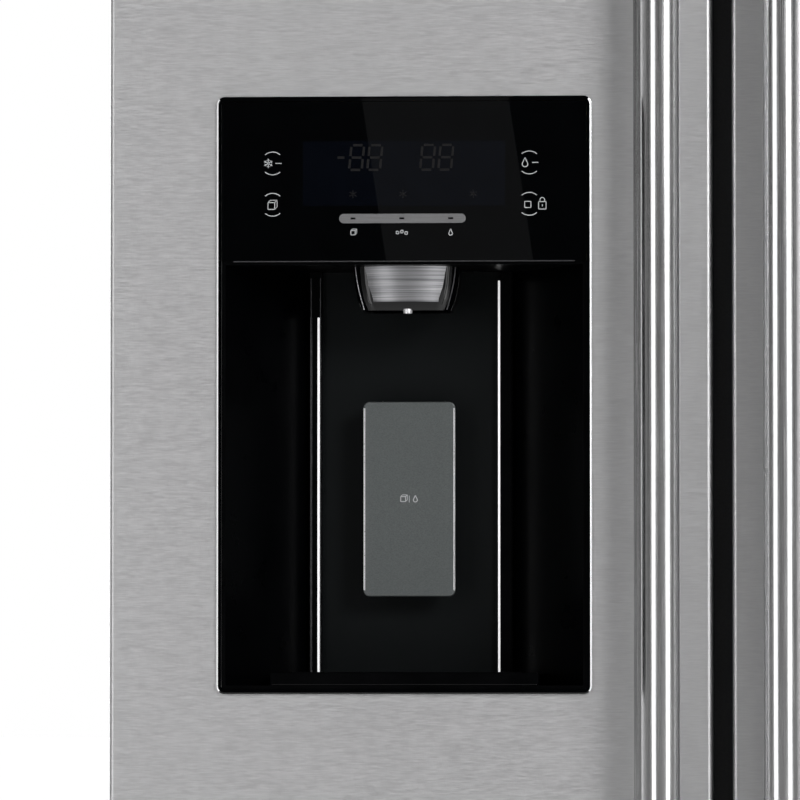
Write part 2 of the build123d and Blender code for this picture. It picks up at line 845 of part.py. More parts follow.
# Evaporator cover: the freezer's back wall, with the fan's grille and a return slot.
with BuildPart() as evaporator_cover:
    face_y = (cover_front, cover_back)
    block((freezer_left, freezer_right), face_y, (cover_bottom, evaporator_cover_top))
    for edge in (cover_bottom, evaporator_cover_top - evaporator_cover_thickness):
        block(
            (freezer_left, freezer_right),
            (cover_back, inside_back),
            (edge, edge + evaporator_cover_thickness),
        )
    for row in range(grille_rows):
        slot_middle = (row - (grille_rows - 1) / 2) * grille_pitch
        slot_z = evaporator_fan_z + slot_middle
        reach = math.sqrt(evaporator_fan_radius**2 - slot_middle**2)
        block(
            (freezer_middle - reach, freezer_middle + reach),
            face_y,
            (slot_z - grille_slot / 2, slot_z + grille_slot / 2),
            mode=Mode.SUBTRACT,
        )
    return_slot_z = cover_bottom + return_slot_bottom
    block(
        (freezer_left + return_slot_inset, freezer_right - return_slot_inset),
        face_y,
        (return_slot_z, return_slot_z + return_slot_height),
        mode=Mode.SUBTRACT,
    )
save(evaporator_cover, "evaporator_cover")

evaporator_back_gap = 4.0
evaporator_front_gap = 12.0
evaporator_rise = 70.0
evaporator_back = inside_back - evaporator_back_gap
evaporator_front = cover_back + evaporator_front_gap
evaporator_bottom = cover_bottom + evaporator_rise
evaporator_height = 420.0
fan_gap = 8.0
fan_shaft_inset = 4.0

# Evaporator: fins on rows of tube, with the fan's motor above it.
with BuildPart() as evaporator:
    fin_left = freezer_left + evaporator_from_side
    fin_right = freezer_right - evaporator_from_side
    fin_pitch = (fin_right - fin_left) / (evaporator_fins - 1)
    for fin in range(evaporator_fins):
        fin_x = fin_left + fin * fin_pitch
        block(
            (fin_x - fin_half, fin_x + fin_half),
            (evaporator_front, evaporator_back),
            (evaporator_bottom, evaporator_bottom + evaporator_height),
        )
    tube_left = fin_left - evaporator_tube_reach
    tube_length = fin_right - fin_left + 2 * evaporator_tube_reach
    tube_places = (
        evaporator_front + evaporator_tube_inset,
        evaporator_back - evaporator_tube_inset,
    )
    for row in range(evaporator_rows):
        for tube_y in tube_places:
            tube_z = evaporator_bottom + evaporator_height * (row + 0.5) / evaporator_rows
            rod(Plane((tube_left, tube_y, tube_z), z_dir=(1, 0, 0)), tube_radius, tube_length)
    motor = Plane((freezer_middle, inside_back, evaporator_fan_z), z_dir=(0, -1, 0))
    rod(motor, fan_motor_radius, fan_motor_length)
    rod(motor.offset(fan_motor_length), fan_shaft_radius, fan_gap + fan_hub_length - fan_shaft_inset)
save(evaporator, "evaporator")

evaporator_fan = fan_rotor(
    Plane(
        (
            freezer_middle,
            inside_back - fan_motor_length - fan_gap / 2 - fan_hub_length,
            evaporator_fan_z,
        ),
        z_dir=(0, 1, 0),
    ),
    evaporator_fan_radius,
    fan_hub_radius,
    fan_hub_length,
    fan_blades,
)
save(evaporator_fan, "evaporator_fan")

# Freezer shelves, moulded with a front lip.
with BuildPart() as freezer_shelves:
    for top in freezer_shelf_tops:
        block((freezer_left, freezer_right), (shelf_y, cover_front), (top - shelf_thickness, top))
        block(
            (freezer_left, freezer_right),
            (shelf_y, shelf_y + shelf_lip_thickness),
            (top - shelf_lip_height, top - shelf_thickness),
        )
save(freezer_shelves, "freezer_shelves")


def drawer(name, x_limits, bottom, top, back):
    """A drawer: a clear box, open at the top, with a grip along its front edge."""
    with BuildPart() as box:
        front = shelf_y + drawer_front_setback
        open_box(x_limits, (front, back), (bottom, top), drawer_wall)
        block(x_limits, (front - drawer_lip / 2, front), (top - drawer_lip, top))
    save(box, name)


lower_drawer_top = step_top - lower_drawer_drop
lower_drawer_back = step_front - drawer_back_gap
upper_drawer_bottom = step_top + drawer_bottom_gap
freezer_drawer_x = (freezer_left + drawer_side_gap, freezer_right - drawer_side_gap)
crisper_x = (fridge_left + drawer_side_gap, fridge_right - crisper_hinge_gap)
drawer_places = (
    ("freezer_drawer", freezer_drawer_x, freezer_shelf_tops[0], cover_front),
    ("crisper", crisper_x, fridge_shelf_tops[0], inside_back),
)
for name, x_limits, shelf_top, back in drawer_places:
    upper_drawer_top = shelf_top - shelf_lip_height - drawer_top_gap / 3
    lower_bottom = inside_floor + drawer_bottom_gap
    drawer(f"{name}_lower", x_limits, lower_bottom, lower_drawer_top, lower_drawer_back)
    upper_back = back - drawer_back_gap
    drawer(f"{name}_upper", x_limits, upper_drawer_bottom, upper_drawer_top, upper_back)

bucket_bottom = freezer_shelf_tops[-1]
bucket_y = (cabinet_front + bucket_front, cabinet_front + bucket_front + bucket_length)
bucket_x = (dispenser_middle - bucket_width / 2, dispenser_middle + bucket_width / 2)
ice_maker_bottom = bucket_bottom + bucket_height + ice_maker_over_bucket
snout_y = (bulge_back + snout_gap, bucket_y[0] + bin_wall)
snout_top = duct_mouth_top - snout_under_mouth
auger_z = bucket_bottom + bin_wall + auger_radius + auger_over_floor

# Ice bucket: stands on the top shelf, with a snout that faces the door's ice duct.
with BuildPart() as ice_bucket:
    open_box(bucket_x, bucket_y, (bucket_bottom, bucket_bottom + bucket_height), bin_wall)
    snout_x = (dispenser_middle - snout_width / 2, dispenser_middle + snout_width / 2)
    block(snout_x, (snout_y[0], bucket_y[0]), (bucket_bottom, snout_top))
    block(
        (snout_x[0] + bin_wall, snout_x[1] - bin_wall),
        snout_y,
        (bucket_bottom + bin_wall, snout_top - bin_wall),
        mode=Mode.SUBTRACT,
    )
    bearing = Plane((dispenser_middle, bucket_y[1] - bin_wall, auger_z), z_dir=(0, 1, 0))
    rod(bearing, auger_shaft_radius + fan_running_gap, bin_wall, mode=Mode.SUBTRACT)
save(ice_bucket, "ice_bucket")

auger_blades = 12

# Ice auger: a shaft with flat blades, each turned a little from the one before.
with BuildPart() as ice_auger:
    auger_start = Plane(
        (dispenser_middle, bucket_y[0] + auger_front_gap, auger_z), z_dir=(0, 1, 0)
    )
    rod(auger_start, auger_shaft_radius, bucket_length)
    auger_reach = bucket_length - auger_first_blade - auger_last_blade
    for blade in range(auger_blades):
        along = auger_first_blade + blade * auger_reach / (auger_blades - 1)
        turned = auger_first_turn + blade * auger_blade_turn
        with BuildSketch(auger_start.offset(along)):
            SlotOverall(2 * auger_radius, auger_blade_width, rotation=turned)
        extrude(amount=auger_blade_thickness)
save(ice_auger, "ice_auger")

# Ice maker: a tray of moulds in a housing on the freezer's wall, above the bucket.
with BuildPart() as ice_maker:
    maker_start = bucket_y[0] + ice_maker_setback
    maker_y = (maker_start, maker_start + ice_maker_length)
    maker_z = (ice_maker_bottom, ice_maker_bottom + ice_maker_height)
    maker_x = (freezer_left, dispenser_middle + ice_maker_past_bucket_middle)
    block(maker_x, maker_y, maker_z)
    for mould in range(ice_moulds):
        mould_y = maker_y[0] + first_ice_mould + mould * ice_mould_pitch
        block(
            (maker_x[0] + ice_mould_from_wall, maker_x[1] - ice_mould_from_edge),
            (mould_y, mould_y + ice_mould_width),
            (maker_z[1] - ice_mould_depth, maker_z[1]),
            mode=Mode.SUBTRACT,
        )
save(ice_maker, "ice_maker")

# ---------------------------------------------------------------- inside the fridge

fridge_middle = (fridge_left + fridge_right) / 2
air_duct_front = inside_back - air_duct_depth
air_duct_bottom = fridge_shelf_tops[0] + air_duct_over_glass
air_duct_top = inside_ceiling - air_duct_drop
air_slot_inset = 30.0
air_slot_over_glass = 120.0
air_slot_height = 12.0

# Glass shelves; the lowest one covers the drawers.
with BuildPart() as fridge_shelves:
    for top in fridge_shelf_tops:
        shelf_back = (shelf_y, air_duct_front)
        block((fridge_left, fridge_right), shelf_back, (top - glass_thickness, top))
save(fridge_shelves, "fridge_shelves")

# Air duct: a cover on the back wall, with an outlet slot above each shelf.
with BuildPart() as fridge_air_duct:
    duct_x = (fridge_middle - air_duct_width / 2, fridge_middle + air_duct_width / 2)
    duct_z = (air_duct_bottom, air_duct_top)
    block(duct_x, (air_duct_front, inside_back), duct_z)
    block(
        (duct_x[0] + liner, duct_x[1] - liner),
        (air_duct_front + liner, inside_back),
        (duct_z[0] + liner, duct_z[1] - liner),
        mode=Mode.SUBTRACT,
    )
    for top in fridge_shelf_tops:
        block(
            (duct_x[0] + air_slot_inset, duct_x[1] - air_slot_inset),
            (air_duct_front, air_duct_front + liner),
            (top + air_slot_over_glass, top + air_slot_over_glass + air_slot_height),
            mode=Mode.SUBTRACT,
        )
save(fridge_air_duct, "fridge_air_duct")

# Lamp lenses, one in each compartment's ceiling.
with BuildPart() as lamp_lenses:
    lamp_front = shelf_y + lamp_behind_shelf_front
    for middle in (freezer_middle, fridge_middle):
        block(
            (middle - lamp_length / 2, middle + lamp_length / 2),
            (lamp_front, lamp_front + lamp_width),
            (inside_ceiling - lamp_height, inside_ceiling),
        )
save(lamp_lenses, "lamp_lenses")

# ---------------------------------------------------------------- doors


def door_slab(left, right, bottom, top, inset, back, mode=Mode.ADD):
    """A block with the door's plan: rounded front edges, set in from the skin's outside."""
    with BuildSketch(Plane.XY.offset(bottom)) as outline:
        width = right - left - 2 * inset
        depth = back - door_front - inset
        with Locations(((left + right) / 2, door_front + inset + depth / 2)):
            Rectangle(width, depth)
        fillet(outline.vertices().group_by(Axis.Y)[0], door_edge_radius - inset)
    extrude(outline.sketch, amount=top - bottom, mode=mode)


def door_notch(sign):
    """Cuts the space at the door's top corner where the upper hinge's arm lies and turns."""
    block(
        (sign * (side - notch_width), sign * side),
        (door_front + notch_front_lip, door_back),
        (cabinet_top - notch_gap, door_top),
        mode=Mode.SUBTRACT,
    )


def ridge_limits(opening_left, opening_right, sign):
    """The two upright ridges inside a door, as pairs of X limits, left one first."""
    left_gap = ridge_hinge_gap if sign < 0 else ridge_inner_gap
    right_gap = ridge_hinge_gap if sign > 0 else ridge_inner_gap
    left = opening_left + left_gap
    right = opening_right - right_gap
    return (left, left + ridge_width), (right - ridge_width, right)


def door_ridges(ridges, inset, mode=Mode.ADD):
    """The ridges of a door's inner side, set in by the liner's thickness or by nothing."""
    low = inside_floor + ridge_end_gap + inset
    high = inside_ceiling - ridge_end_gap - inset
    for left, right in ridges:
        depth = (door_back - liner, door_back + ridge_depth - inset)
        block((left + inset, right - inset), depth, (low, high), mode=mode)


def door_bulge(ridges, inset, mode=Mode.ADD):
    """The bulge behind the dispenser's recess."""
    low = bulge_bottom + inset
    x_limits = (ridges[0][0] + inset, ridges[1][1] - inset)
    depth = (door_back - liner, door_back + bulge_depth - inset)
    block(x_limits, depth, (low, bulge_top - inset), mode=mode)


recess_half_front = dispenser_width / 2 - bezel_width
recess_half_back = recess_back_width / 2
recess_bottom = dispenser_bottom + bezel_width
recess_back = door_front + recess_depth


def recess_space(wall, bottom, top, mode=Mode.ADD):
    """The dispenser's recess: wide at the front, narrow at the back."""
    front = recess_half_front - recess_wall + wall
    back = recess_half_back + wall
    with BuildSketch(Plane.XY.offset(bottom)) as plan:
        with BuildLine():
            Polyline(
                (dispenser_middle - front, door_front),
                (dispenser_middle + front, door_front),
                (dispenser_middle + back, recess_back + wall),
                (dispenser_middle - back, recess_back + wall),
                close=True,
            )
        make_face()
    extrude(plan.sketch, amount=top - bottom, mode=mode)


def duct_space(wall, mode=Mode.ADD):
    """The ice duct: up from the recess, then slanting back to the door's inner side."""
    slant = (duct_wall - wall) * math.sqrt(2)
    front = duct_front_y + duct_wall - wall
    top = duct_mouth_top - duct_wall + wall
    half = duct_inside_width / 2 + wall
    reach = bulge_back - duct_back_y
    shoulder = duct_mouth_top - duct_mouth_height + slant
    with BuildSketch(Plane.YZ.offset(dispenser_middle - half)) as section:
        with BuildLine():
            Polyline(
                (front, control_bottom),
                (duct_back_y - slant, control_bottom),
                (bulge_back, control_bottom + reach + slant),
                (bulge_back, top),
                (duct_front_y + top - shoulder, top),
                (front, shoulder + front - duct_front_y),
                close=True,
            )
        make_face()
    extrude(section.sketch, amount=2 * half, mode=mode)


def dispenser_hollow():
    """Cuts what the dispenser takes up from the freezer door."""
    recess_space(recess_wall, recess_bottom, control_bottom, mode=Mode.SUBTRACT)
    duct_space(duct_wall, mode=Mode.SUBTRACT)
    block(
        (dispenser_middle - recess_half_front, dispenser_middle + recess_half_front),
        (door_front, door_front + sheet + board_cavity),
        (control_bottom, control_top),
        mode=Mode.SUBTRACT,
    )


def handle_section(edge, sign):
    """The handle's hooked section. sign is the way from the door's edge to its middle."""

    def at(inward, outward):
        return (edge + sign * inward, door_front - outward)

    front = handle_projection
    near = handle_from_edge
    far = near + handle_nose_width
    turn = front - handle_nose_radius
    inner_turn = handle_nose_radius - handle_metal
    corner = math.sqrt(0.5)
    lip_outer = far + handle_groove + handle_lip
    with BuildSketch(Plane.XY.offset(handle_bottom)) as section:
        with BuildLine():
            Polyline(
                at(far, turn),
                at(far, handle_flange),
                at(far + handle_groove, handle_flange),
                at(far + handle_groove, handle_lip_height),
                at(lip_outer, handle_lip_height),
                at(lip_outer, 0),
                at(far - handle_flange_reach, 0),
                at(far - handle_flange_reach, handle_flange),
                at(far - handle_metal, handle_flange),
                at(far - handle_metal, turn),
            )
            ThreePointArc(
                at(far - handle_metal, turn),
                at(
                    far - handle_nose_radius + inner_turn * corner,
                    turn + inner_turn * corner,
                ),
                at(far - handle_nose_radius, front - handle_metal),
            )
            Line(
                at(far - handle_nose_radius, front - handle_metal),
                at(near + handle_nose_radius, front - handle_metal),
            )
            ThreePointArc(
                at(near + handle_nose_radius, front - handle_metal),
                at(
                    near + handle_nose_radius - inner_turn * corner,
                    turn + inner_turn * corner,
                ),
                at(near + handle_metal, turn),
            )
            Polyline(
                at(near + handle_metal, turn),
                at(near + handle_metal, turn - handle_hook_depth),
                at(near, turn - handle_hook_depth),
                at(near, turn),
            )
            ThreePointArc(
                at(near, turn),
                at(
                    near + handle_nose_radius * (1 - corner),
                    turn + handle_nose_radius * corner,
                ),
                at(near + handle_nose_radius, front),
            )
            Line(at(near + handle_nose_radius, front), at(far - handle_nose_radius, front))
            ThreePointArc(
                at(far - handle_nose_radius, front),
                at(
                    far - handle_nose_radius * (1 - corner),
                    turn + handle_nose_radius * corner,
                ),
                at(far, turn),
            )
        make_face()
    return section.sketch


def door_handle(edge, sign, name):
    """A handle: one long hooked section with a closed plate at each end."""
    with BuildPart() as handle:
        extrude(handle_section(edge, sign), amount=handle_length)
        near = edge + sign * (handle_from_edge + handle_metal)
        far = edge + sign * (handle_from_edge + handle_nose_width - handle_metal)
        front = door_front - handle_projection + handle_nose_radius
        for end in (handle_bottom, handle_bottom + handle_length - handle_end):
            block((near, far), (front, door_front), (end, end + handle_end))
    save(handle, name)


def gasket_ring(left, right, sign, name):
    """The magnetic gasket between a door and the cabinet's front."""
    left_inset = gasket_hinge_inset if sign < 0 else gasket_inner_inset
    right_inset = gasket_hinge_inset if sign > 0 else gasket_inner_inset
    x_limits = (left + left_inset, right - right_inset)
    z_limits = (door_bottom + gasket_bottom_inset, door_top - gasket_top_inset)
    y_limits = (door_back, cabinet_front - 0.3)
    with BuildPart() as ring:
        block(x_limits, y_limits, z_limits)
        block(
            (x_limits[0] + gasket_width, x_limits[1] - gasket_width),
            y_limits,
            (z_limits[0] + gasket_width, z_limits[1] - gasket_width),
            mode=Mode.SUBTRACT,
        )
    save(ring, name)


def door_bins(ridges, floors, name):
    """The bins that hang between a door's ridges."""
    with BuildPart() as bins:
        for bottom in floors:
            open_box(
                (ridges[0][1], ridges[1][0]),
                (door_back, door_back + bin_depth),
                (bottom, bottom + bin_height),
                bin_wall,
            )
    save(bins, name)


def door(name, left, right, opening, sign, has_dispenser):
    """Skin, caps, foam, liner and gasket of one door, hinged on the side that sign gives."""
    ridges = ridge_limits(*opening, sign)
    skin_back = door_back - liner
    foam_bottom = door_bottom + bottom_cap_height
    foam_top = door_top - top_cap_height

    with BuildPart() as skin:
        door_slab(left, right, door_bottom, door_top, 0, skin_back)
        door_slab(left, right, door_bottom, door_top, sheet, skin_back, mode=Mode.SUBTRACT)
        door_notch(sign)
        if has_dispenser:
            block(
                (dispenser_middle - recess_half_front, dispenser_middle + recess_half_front),
                (door_front, door_front + sheet),
                (recess_bottom, control_top),
                mode=Mode.SUBTRACT,
            )
    save(skin, f"{name}_skin")

    with BuildPart() as caps:
        door_slab(left, right, door_bottom, foam_bottom, sheet, skin_back)
        door_slab(left, right, foam_top, door_top, sheet, skin_back)
        door_notch(sign)
        bore = pin_radius + pin_running_gap
        lower_bore = Plane((sign * hinge_x, hinge_y, door_bottom))
        rod(lower_bore, bore, lower_pin_height, mode=Mode.SUBTRACT)
        upper_bore = Plane((sign * hinge_x, hinge_y, cabinet_top - upper_pin_depth - 1))
        rod(upper_bore, bore, upper_pin_depth + 1, mode=Mode.SUBTRACT)
    save(caps, f"{name}_caps")

    with BuildPart() as foam:
        door_slab(left, right, foam_bottom, foam_top, sheet, skin_back)
        door_ridges(ridges, liner)
        if has_dispenser:
            door_bulge(ridges, liner)
            dispenser_hollow()
    save(foam, f"{name}_foam")

    with BuildPart() as inner:
        block((left, right), (skin_back, door_back), (door_bottom, door_top))
        door_ridges(ridges, 0)
        if has_dispenser:
            door_bulge(ridges, 0)
        door_ridges(ridges, liner, mode=Mode.SUBTRACT)
        if has_dispenser:
            door_bulge(ridges, liner, mode=Mode.SUBTRACT)
            dispenser_hollow()
        door_notch(sign)
    save(inner, f"{name}_liner")

    gasket_ring(left, right, sign, f"{name}_gasket")


freezer_opening = (freezer_left, freezer_right)
fridge_opening = (fridge_left, fridge_right)
door("freezer_door", freezer_door_left, freezer_door_right, freezer_opening, -1, True)
door("fridge_door", fridge_door_left, fridge_door_right, fridge_opening, 1, False)
door_handle(freezer_door_right, -1, "freezer_handle")
door_handle(fridge_door_left, 1, "fridge_handle")
door_bins(ridge_limits(*freezer_opening, -1), freezer_bin_floors, "freezer_door_bins")
door_bins(ridge_limits(*fridge_opening, 1), fridge_bin_floors, "fridge_door_bins")

# ---------------------------------------------------------------- dispenser

# Bezel: a thin frame on the door's skin, round the glass and the recess.
with BuildPart() as dispenser_bezel:
    bezel_middle = (dispenser_middle, dispenser_bottom + dispenser_height / 2)
    with BuildSketch(Plane.XZ.offset(-door_front)):
        with Locations(bezel_middle):
            RectangleRounded(dispenser_width, dispenser_height, dispenser_radius)
            inner_width = dispenser_width - 2 * bezel_width
            Rectangle(inner_width, dispenser_height - 2 * bezel_width, mode=Mode.SUBTRACT)
    extrude(amount=bezel_proud)
save(dispenser_bezel, "dispenser_bezel")

# Control glass, flush in the bezel.
with BuildPart() as control_glass:
    block(
        (
            dispenser_middle - recess_half_front + glass_gap,
            dispenser_middle + recess_half_front - glass_gap,
        ),
        (door_front - glass_proud, door_front + sheet),
        (control_bottom, control_top - glass_gap),
    )
save(control_glass, "control_glass")

display_width = 131.0
display_height = 42.0
display_above_bottom = 36.0

# Control board behind the glass, with the display block.
with BuildPart() as control_board:
    board_front = door_front + sheet + board_behind_sheet
    block(
        (dispenser_middle - board_width / 2, dispenser_middle + board_width / 2),
        (board_front, board_front + board_thickness),
        (control_bottom + board_from_glass_edge, control_top - board_from_glass_edge),
    )
    block(
        (dispenser_middle - display_width / 2, dispenser_middle + display_width / 2),
        (door_front + sheet, board_front),
        (
            control_bottom + display_above_bottom,
            control_bottom + display_above_bottom + display_height,
        ),
    )
save(control_board, "control_board")

recess_top_inside = control_bottom - recess_wall
recess_floor = recess_bottom + recess_wall
duct_x_limits = (
    dispenser_middle - duct_inside_width / 2,
    dispenser_middle + duct_inside_width / 2,
)

# Recess housing, with the hole where the ice falls through and an upright rib on each side of
# the back plate.
with BuildPart() as dispenser_housing:
    recess_space(recess_wall, recess_bottom, control_bottom)
    recess_space(0, recess_floor, recess_top_inside, mode=Mode.SUBTRACT)
    for name, sign in SIDES:
        rib_start = dispenser_middle + sign * back_plate_width / 2
        block(
            (rib_start, rib_start + sign * rib_width),
            (recess_back - rib_depth, recess_back),
            (recess_floor + tray_height, recess_top_inside),
        )
    block(
        duct_x_limits,
        (duct_front_y + duct_wall, duct_back_y),
        (recess_top_inside, control_bottom),
        mode=Mode.SUBTRACT,
    )
save(dispenser_housing, "dispenser_housing")

flap_z = control_bottom + flap_over_glass
flap_back = duct_back_y - flap_pivot_inset
flap_pin_y = flap_back - flap_thickness / 2
flap_pin_z = flap_z + flap_thickness / 2

# Ice duct, from the door's inner side down to the recess.
with BuildPart() as ice_duct:
    duct_space(duct_wall)
    duct_space(0, mode=Mode.SUBTRACT)
    bore_half = duct_inside_width / 2 + duct_wall
    pin_bore = Plane((dispenser_middle - bore_half, flap_pin_y, flap_pin_z), z_dir=(1, 0, 0))
    rod(pin_bore, flap_pin_radius + flap_pin_gap, 2 * bore_half, mode=Mode.SUBTRACT)
save(ice_duct, "ice_duct")

plate_front = recess_back - back_plate_thickness
paddle_y = door_front + paddle_front
paddle_pin_y = paddle_y + paddle_thickness + paddle_pin_behind
paddle_pin_z = paddle_bottom + paddle_height - paddle_pin_drop
lug_inner = 10.0
ear_inner = 18.0
ear_width = 5.0

# Back plate of the recess, with the two ears that hold the paddle's pin.
with BuildPart() as dispenser_back_plate:
    block(
        (dispenser_middle - back_plate_width / 2, dispenser_middle + back_plate_width / 2),
        (plate_front, recess_back),
        (recess_floor + tray_height, recess_top_inside),
    )
    for name, sign in SIDES:
        ear_start = dispenser_middle + sign * ear_inner
        block(
            (ear_start, ear_start + sign * ear_width),
            (paddle_pin_y - paddle_ear_before_pin, plate_front),
            (paddle_pin_z - paddle_ear_half_height, paddle_pin_z + paddle_ear_half_height),
        )
    ear_outer = ear_inner + ear_width
    bore_start = Plane((dispenser_middle - ear_outer, paddle_pin_y, paddle_pin_z), z_dir=(1, 0, 0))
    rod(bore_start, paddle_pin_radius + paddle_running_gap, 2 * ear_outer, mode=Mode.SUBTRACT)
save(dispenser_back_plate, "dispenser_back_plate")

# Paddle: a plate to push the glass against, on a pin behind its top edge.
with BuildPart() as dispenser_paddle:
    paddle_middle = (dispenser_middle, paddle_bottom + paddle_height / 2)
    with BuildSketch(Plane.XZ.offset(-paddle_y - paddle_thickness)):
        with Locations(paddle_middle):
            RectangleRounded(paddle_width, paddle_height, paddle_radius)
    extrude(amount=paddle_thickness)
    for name, sign in SIDES:
        lug_start = dispenser_middle + sign * lug_inner
        block(
            (lug_start, lug_start + sign * paddle_lug_width),
            (paddle_y + paddle_thickness, paddle_pin_y + paddle_pin_radius),
            (paddle_pin_z - paddle_lug_half_height, paddle_pin_z + paddle_lug_half_height),
        )
    pin_start = Plane(
        (dispenser_middle - paddle_pin_length / 2, paddle_pin_y, paddle_pin_z), z_dir=(1, 0, 0)
    )
    rod(pin_start, paddle_pin_radius, paddle_pin_length)
save(dispenser_paddle, "dispenser_paddle")

# Spout: a tapered hollow chute that hangs under the duct.
with BuildPart() as dispenser_spout:
    spout_middle_y = door_front + spout_front + spout_top_depth / 2
    for wall, mode in ((0, Mode.ADD), (spout_wall, Mode.SUBTRACT)):
        with BuildSketch(Plane.XY.offset(recess_top_inside)):
            with Locations((dispenser_middle, spout_middle_y)):
                RectangleRounded(
                    spout_top_width - 2 * wall,
                    spout_top_depth - 2 * wall,
                    spout_top_corner - wall,
                )
        with BuildSketch(Plane.XY.offset(recess_top_inside - spout_height)):
            with Locations((dispenser_middle, spout_middle_y)):
                RectangleRounded(
                    spout_bottom_width - 2 * wall,
                    spout_bottom_depth - 2 * wall,
                    spout_bottom_corner - wall,
                )
        loft(mode=mode)
save(dispenser_spout, "dispenser_spout")

# Ice flap: closes the duct's lower end, and turns down into the spout.
with BuildPart() as ice_flap:
    block(
        (duct_x_limits[0] + flap_gap, duct_x_limits[1] - flap_gap),
        (duct_front_y + duct_wall + flap_gap, flap_back),
        (flap_z, flap_z + flap_thickness),
    )
    flap_pin_half = duct_inside_width / 2 + flap_pin_seat
    flap_pin = Plane((dispenser_middle - flap_pin_half, flap_pin_y, flap_pin_z), z_dir=(1, 0, 0))
    rod(flap_pin, flap_pin_radius, 2 * flap_pin_half)
save(ice_flap, "ice_flap")

# Drip tray, narrower towards the back like the recess it lies in.
with BuildPart() as drip_tray:
    tray_front = door_front + tray_gap
    tray_back = plate_front - tray_gap
    wall_slope = (recess_half_front - recess_wall - recess_half_back) / recess_depth
    corner_y = door_front + (recess_half_front - recess_wall - tray_gap - tray_width / 2) / wall_slope
    back_half = recess_half_back + wall_slope * (recess_back - tray_back) - tray_gap
    with BuildSketch(Plane.XY.offset(recess_floor)):
        with BuildLine():
            Polyline(
                (dispenser_middle - tray_width / 2, tray_front),
                (dispenser_middle + tray_width / 2, tray_front),
                (dispenser_middle + tray_width / 2, corner_y),
                (dispenser_middle + back_half, tray_back),
                (dispenser_middle - back_half, tray_back),
                (dispenser_middle - tray_width / 2, corner_y),
                close=True,
            )
        make_face()
    extrude(amount=tray_height)
    slot_back = min(corner_y, tray_back - tray_rim)
    for slot in range(-tray_slots_each_side, tray_slots_each_side + 1):
        slot_x = dispenser_middle + slot * tray_slot_pitch
        block(
            (slot_x - tray_slot_width / 2, slot_x + tray_slot_width / 2),
            (tray_front + tray_rim, slot_back),
            (recess_floor + tray_floor, recess_floor + tray_height),
            mode=Mode.SUBTRACT,
        )
save(drip_tray, "drip_tray")
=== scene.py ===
import math

import bmesh
import bpy
from mathutils import Matrix, Vector


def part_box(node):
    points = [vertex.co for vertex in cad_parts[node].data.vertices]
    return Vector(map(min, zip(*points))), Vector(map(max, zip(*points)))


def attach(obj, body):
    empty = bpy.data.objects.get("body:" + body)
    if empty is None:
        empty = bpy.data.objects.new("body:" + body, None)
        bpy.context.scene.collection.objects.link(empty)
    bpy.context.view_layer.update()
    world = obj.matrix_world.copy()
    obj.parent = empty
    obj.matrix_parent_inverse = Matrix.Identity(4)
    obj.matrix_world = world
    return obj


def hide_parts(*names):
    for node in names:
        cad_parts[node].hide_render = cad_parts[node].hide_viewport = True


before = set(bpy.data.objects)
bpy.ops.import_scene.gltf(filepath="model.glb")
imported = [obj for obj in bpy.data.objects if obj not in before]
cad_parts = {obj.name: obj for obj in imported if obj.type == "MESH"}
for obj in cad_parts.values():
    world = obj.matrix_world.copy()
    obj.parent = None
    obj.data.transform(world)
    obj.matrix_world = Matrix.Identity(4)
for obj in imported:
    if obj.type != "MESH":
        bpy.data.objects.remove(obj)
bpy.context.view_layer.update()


# The camera stands a few metres in front of the refrigerator's middle and looks a little up
# and to the left, at the dispenser, through a long lens.
door_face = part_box("freezer_door_skin")[0].y
camera_distance = 4.70
camera_height = 0.89
frame_middle = Vector((-0.2589, door_face, 1.0809))
camera_body = bpy.data.cameras.new("camera")
camera_body.lens = 328
camera_body.clip_end = 200
camera = bpy.data.objects.new("camera", camera_body)
bpy.context.scene.collection.objects.link(camera)
camera.location = (0, door_face - camera_distance, camera_height)
camera.rotation_euler = (frame_middle - camera.location).to_track_quat("-Z", "Y").to_euler()
bpy.context.scene.camera = camera
bpy.context.scene.view_settings.view_transform = "Standard"


# The studio's floor is one pale sheet, far larger than the refrigerator, so that it meets the
# backdrop out of sight.
floor_bm = bmesh.new()
bmesh.ops.create_grid(floor_bm, x_segments=1, y_segments=1, size=150)
floor_mesh = bpy.data.meshes.new("studio_floor")
floor_bm.to_mesh(floor_mesh)
floor_bm.free()
studio_floor = bpy.data.objects.new("studio_floor", floor_mesh)
bpy.context.scene.collection.objects.link(studio_floor)

floor_paint = bpy.data.materials.new("studio_floor")
floor_paint.use_nodes = True
floor_nodes = floor_paint.node_tree.nodes
floor_link = floor_paint.node_tree.links.new
floor_shader = floor_nodes["Principled BSDF"]
floor_shader.inputs["Base Color"].default_value = (0.80, 0.80, 0.80, 1)
floor_shader.inputs["Roughness"].default_value = 0.6
floor_shader.inputs["Specular IOR Level"].default_value = 0.1
floor_shader.inputs["Emission Color"].default_value = (1, 1, 1, 1)
floor_sight = floor_nodes.new("ShaderNodeLightPath")
floor_glow = floor_nodes.new("ShaderNodeMapRange")
floor_glow.inputs["To Max"].default_value = 0.80
floor_link(floor_sight.outputs["Is Camera Ray"], floor_glow.inputs["Value"])
floor_link(floor_glow.outputs["Result"], floor_shader.inputs["Emission Strength"])
floor_mesh.materials.append(floor_paint)


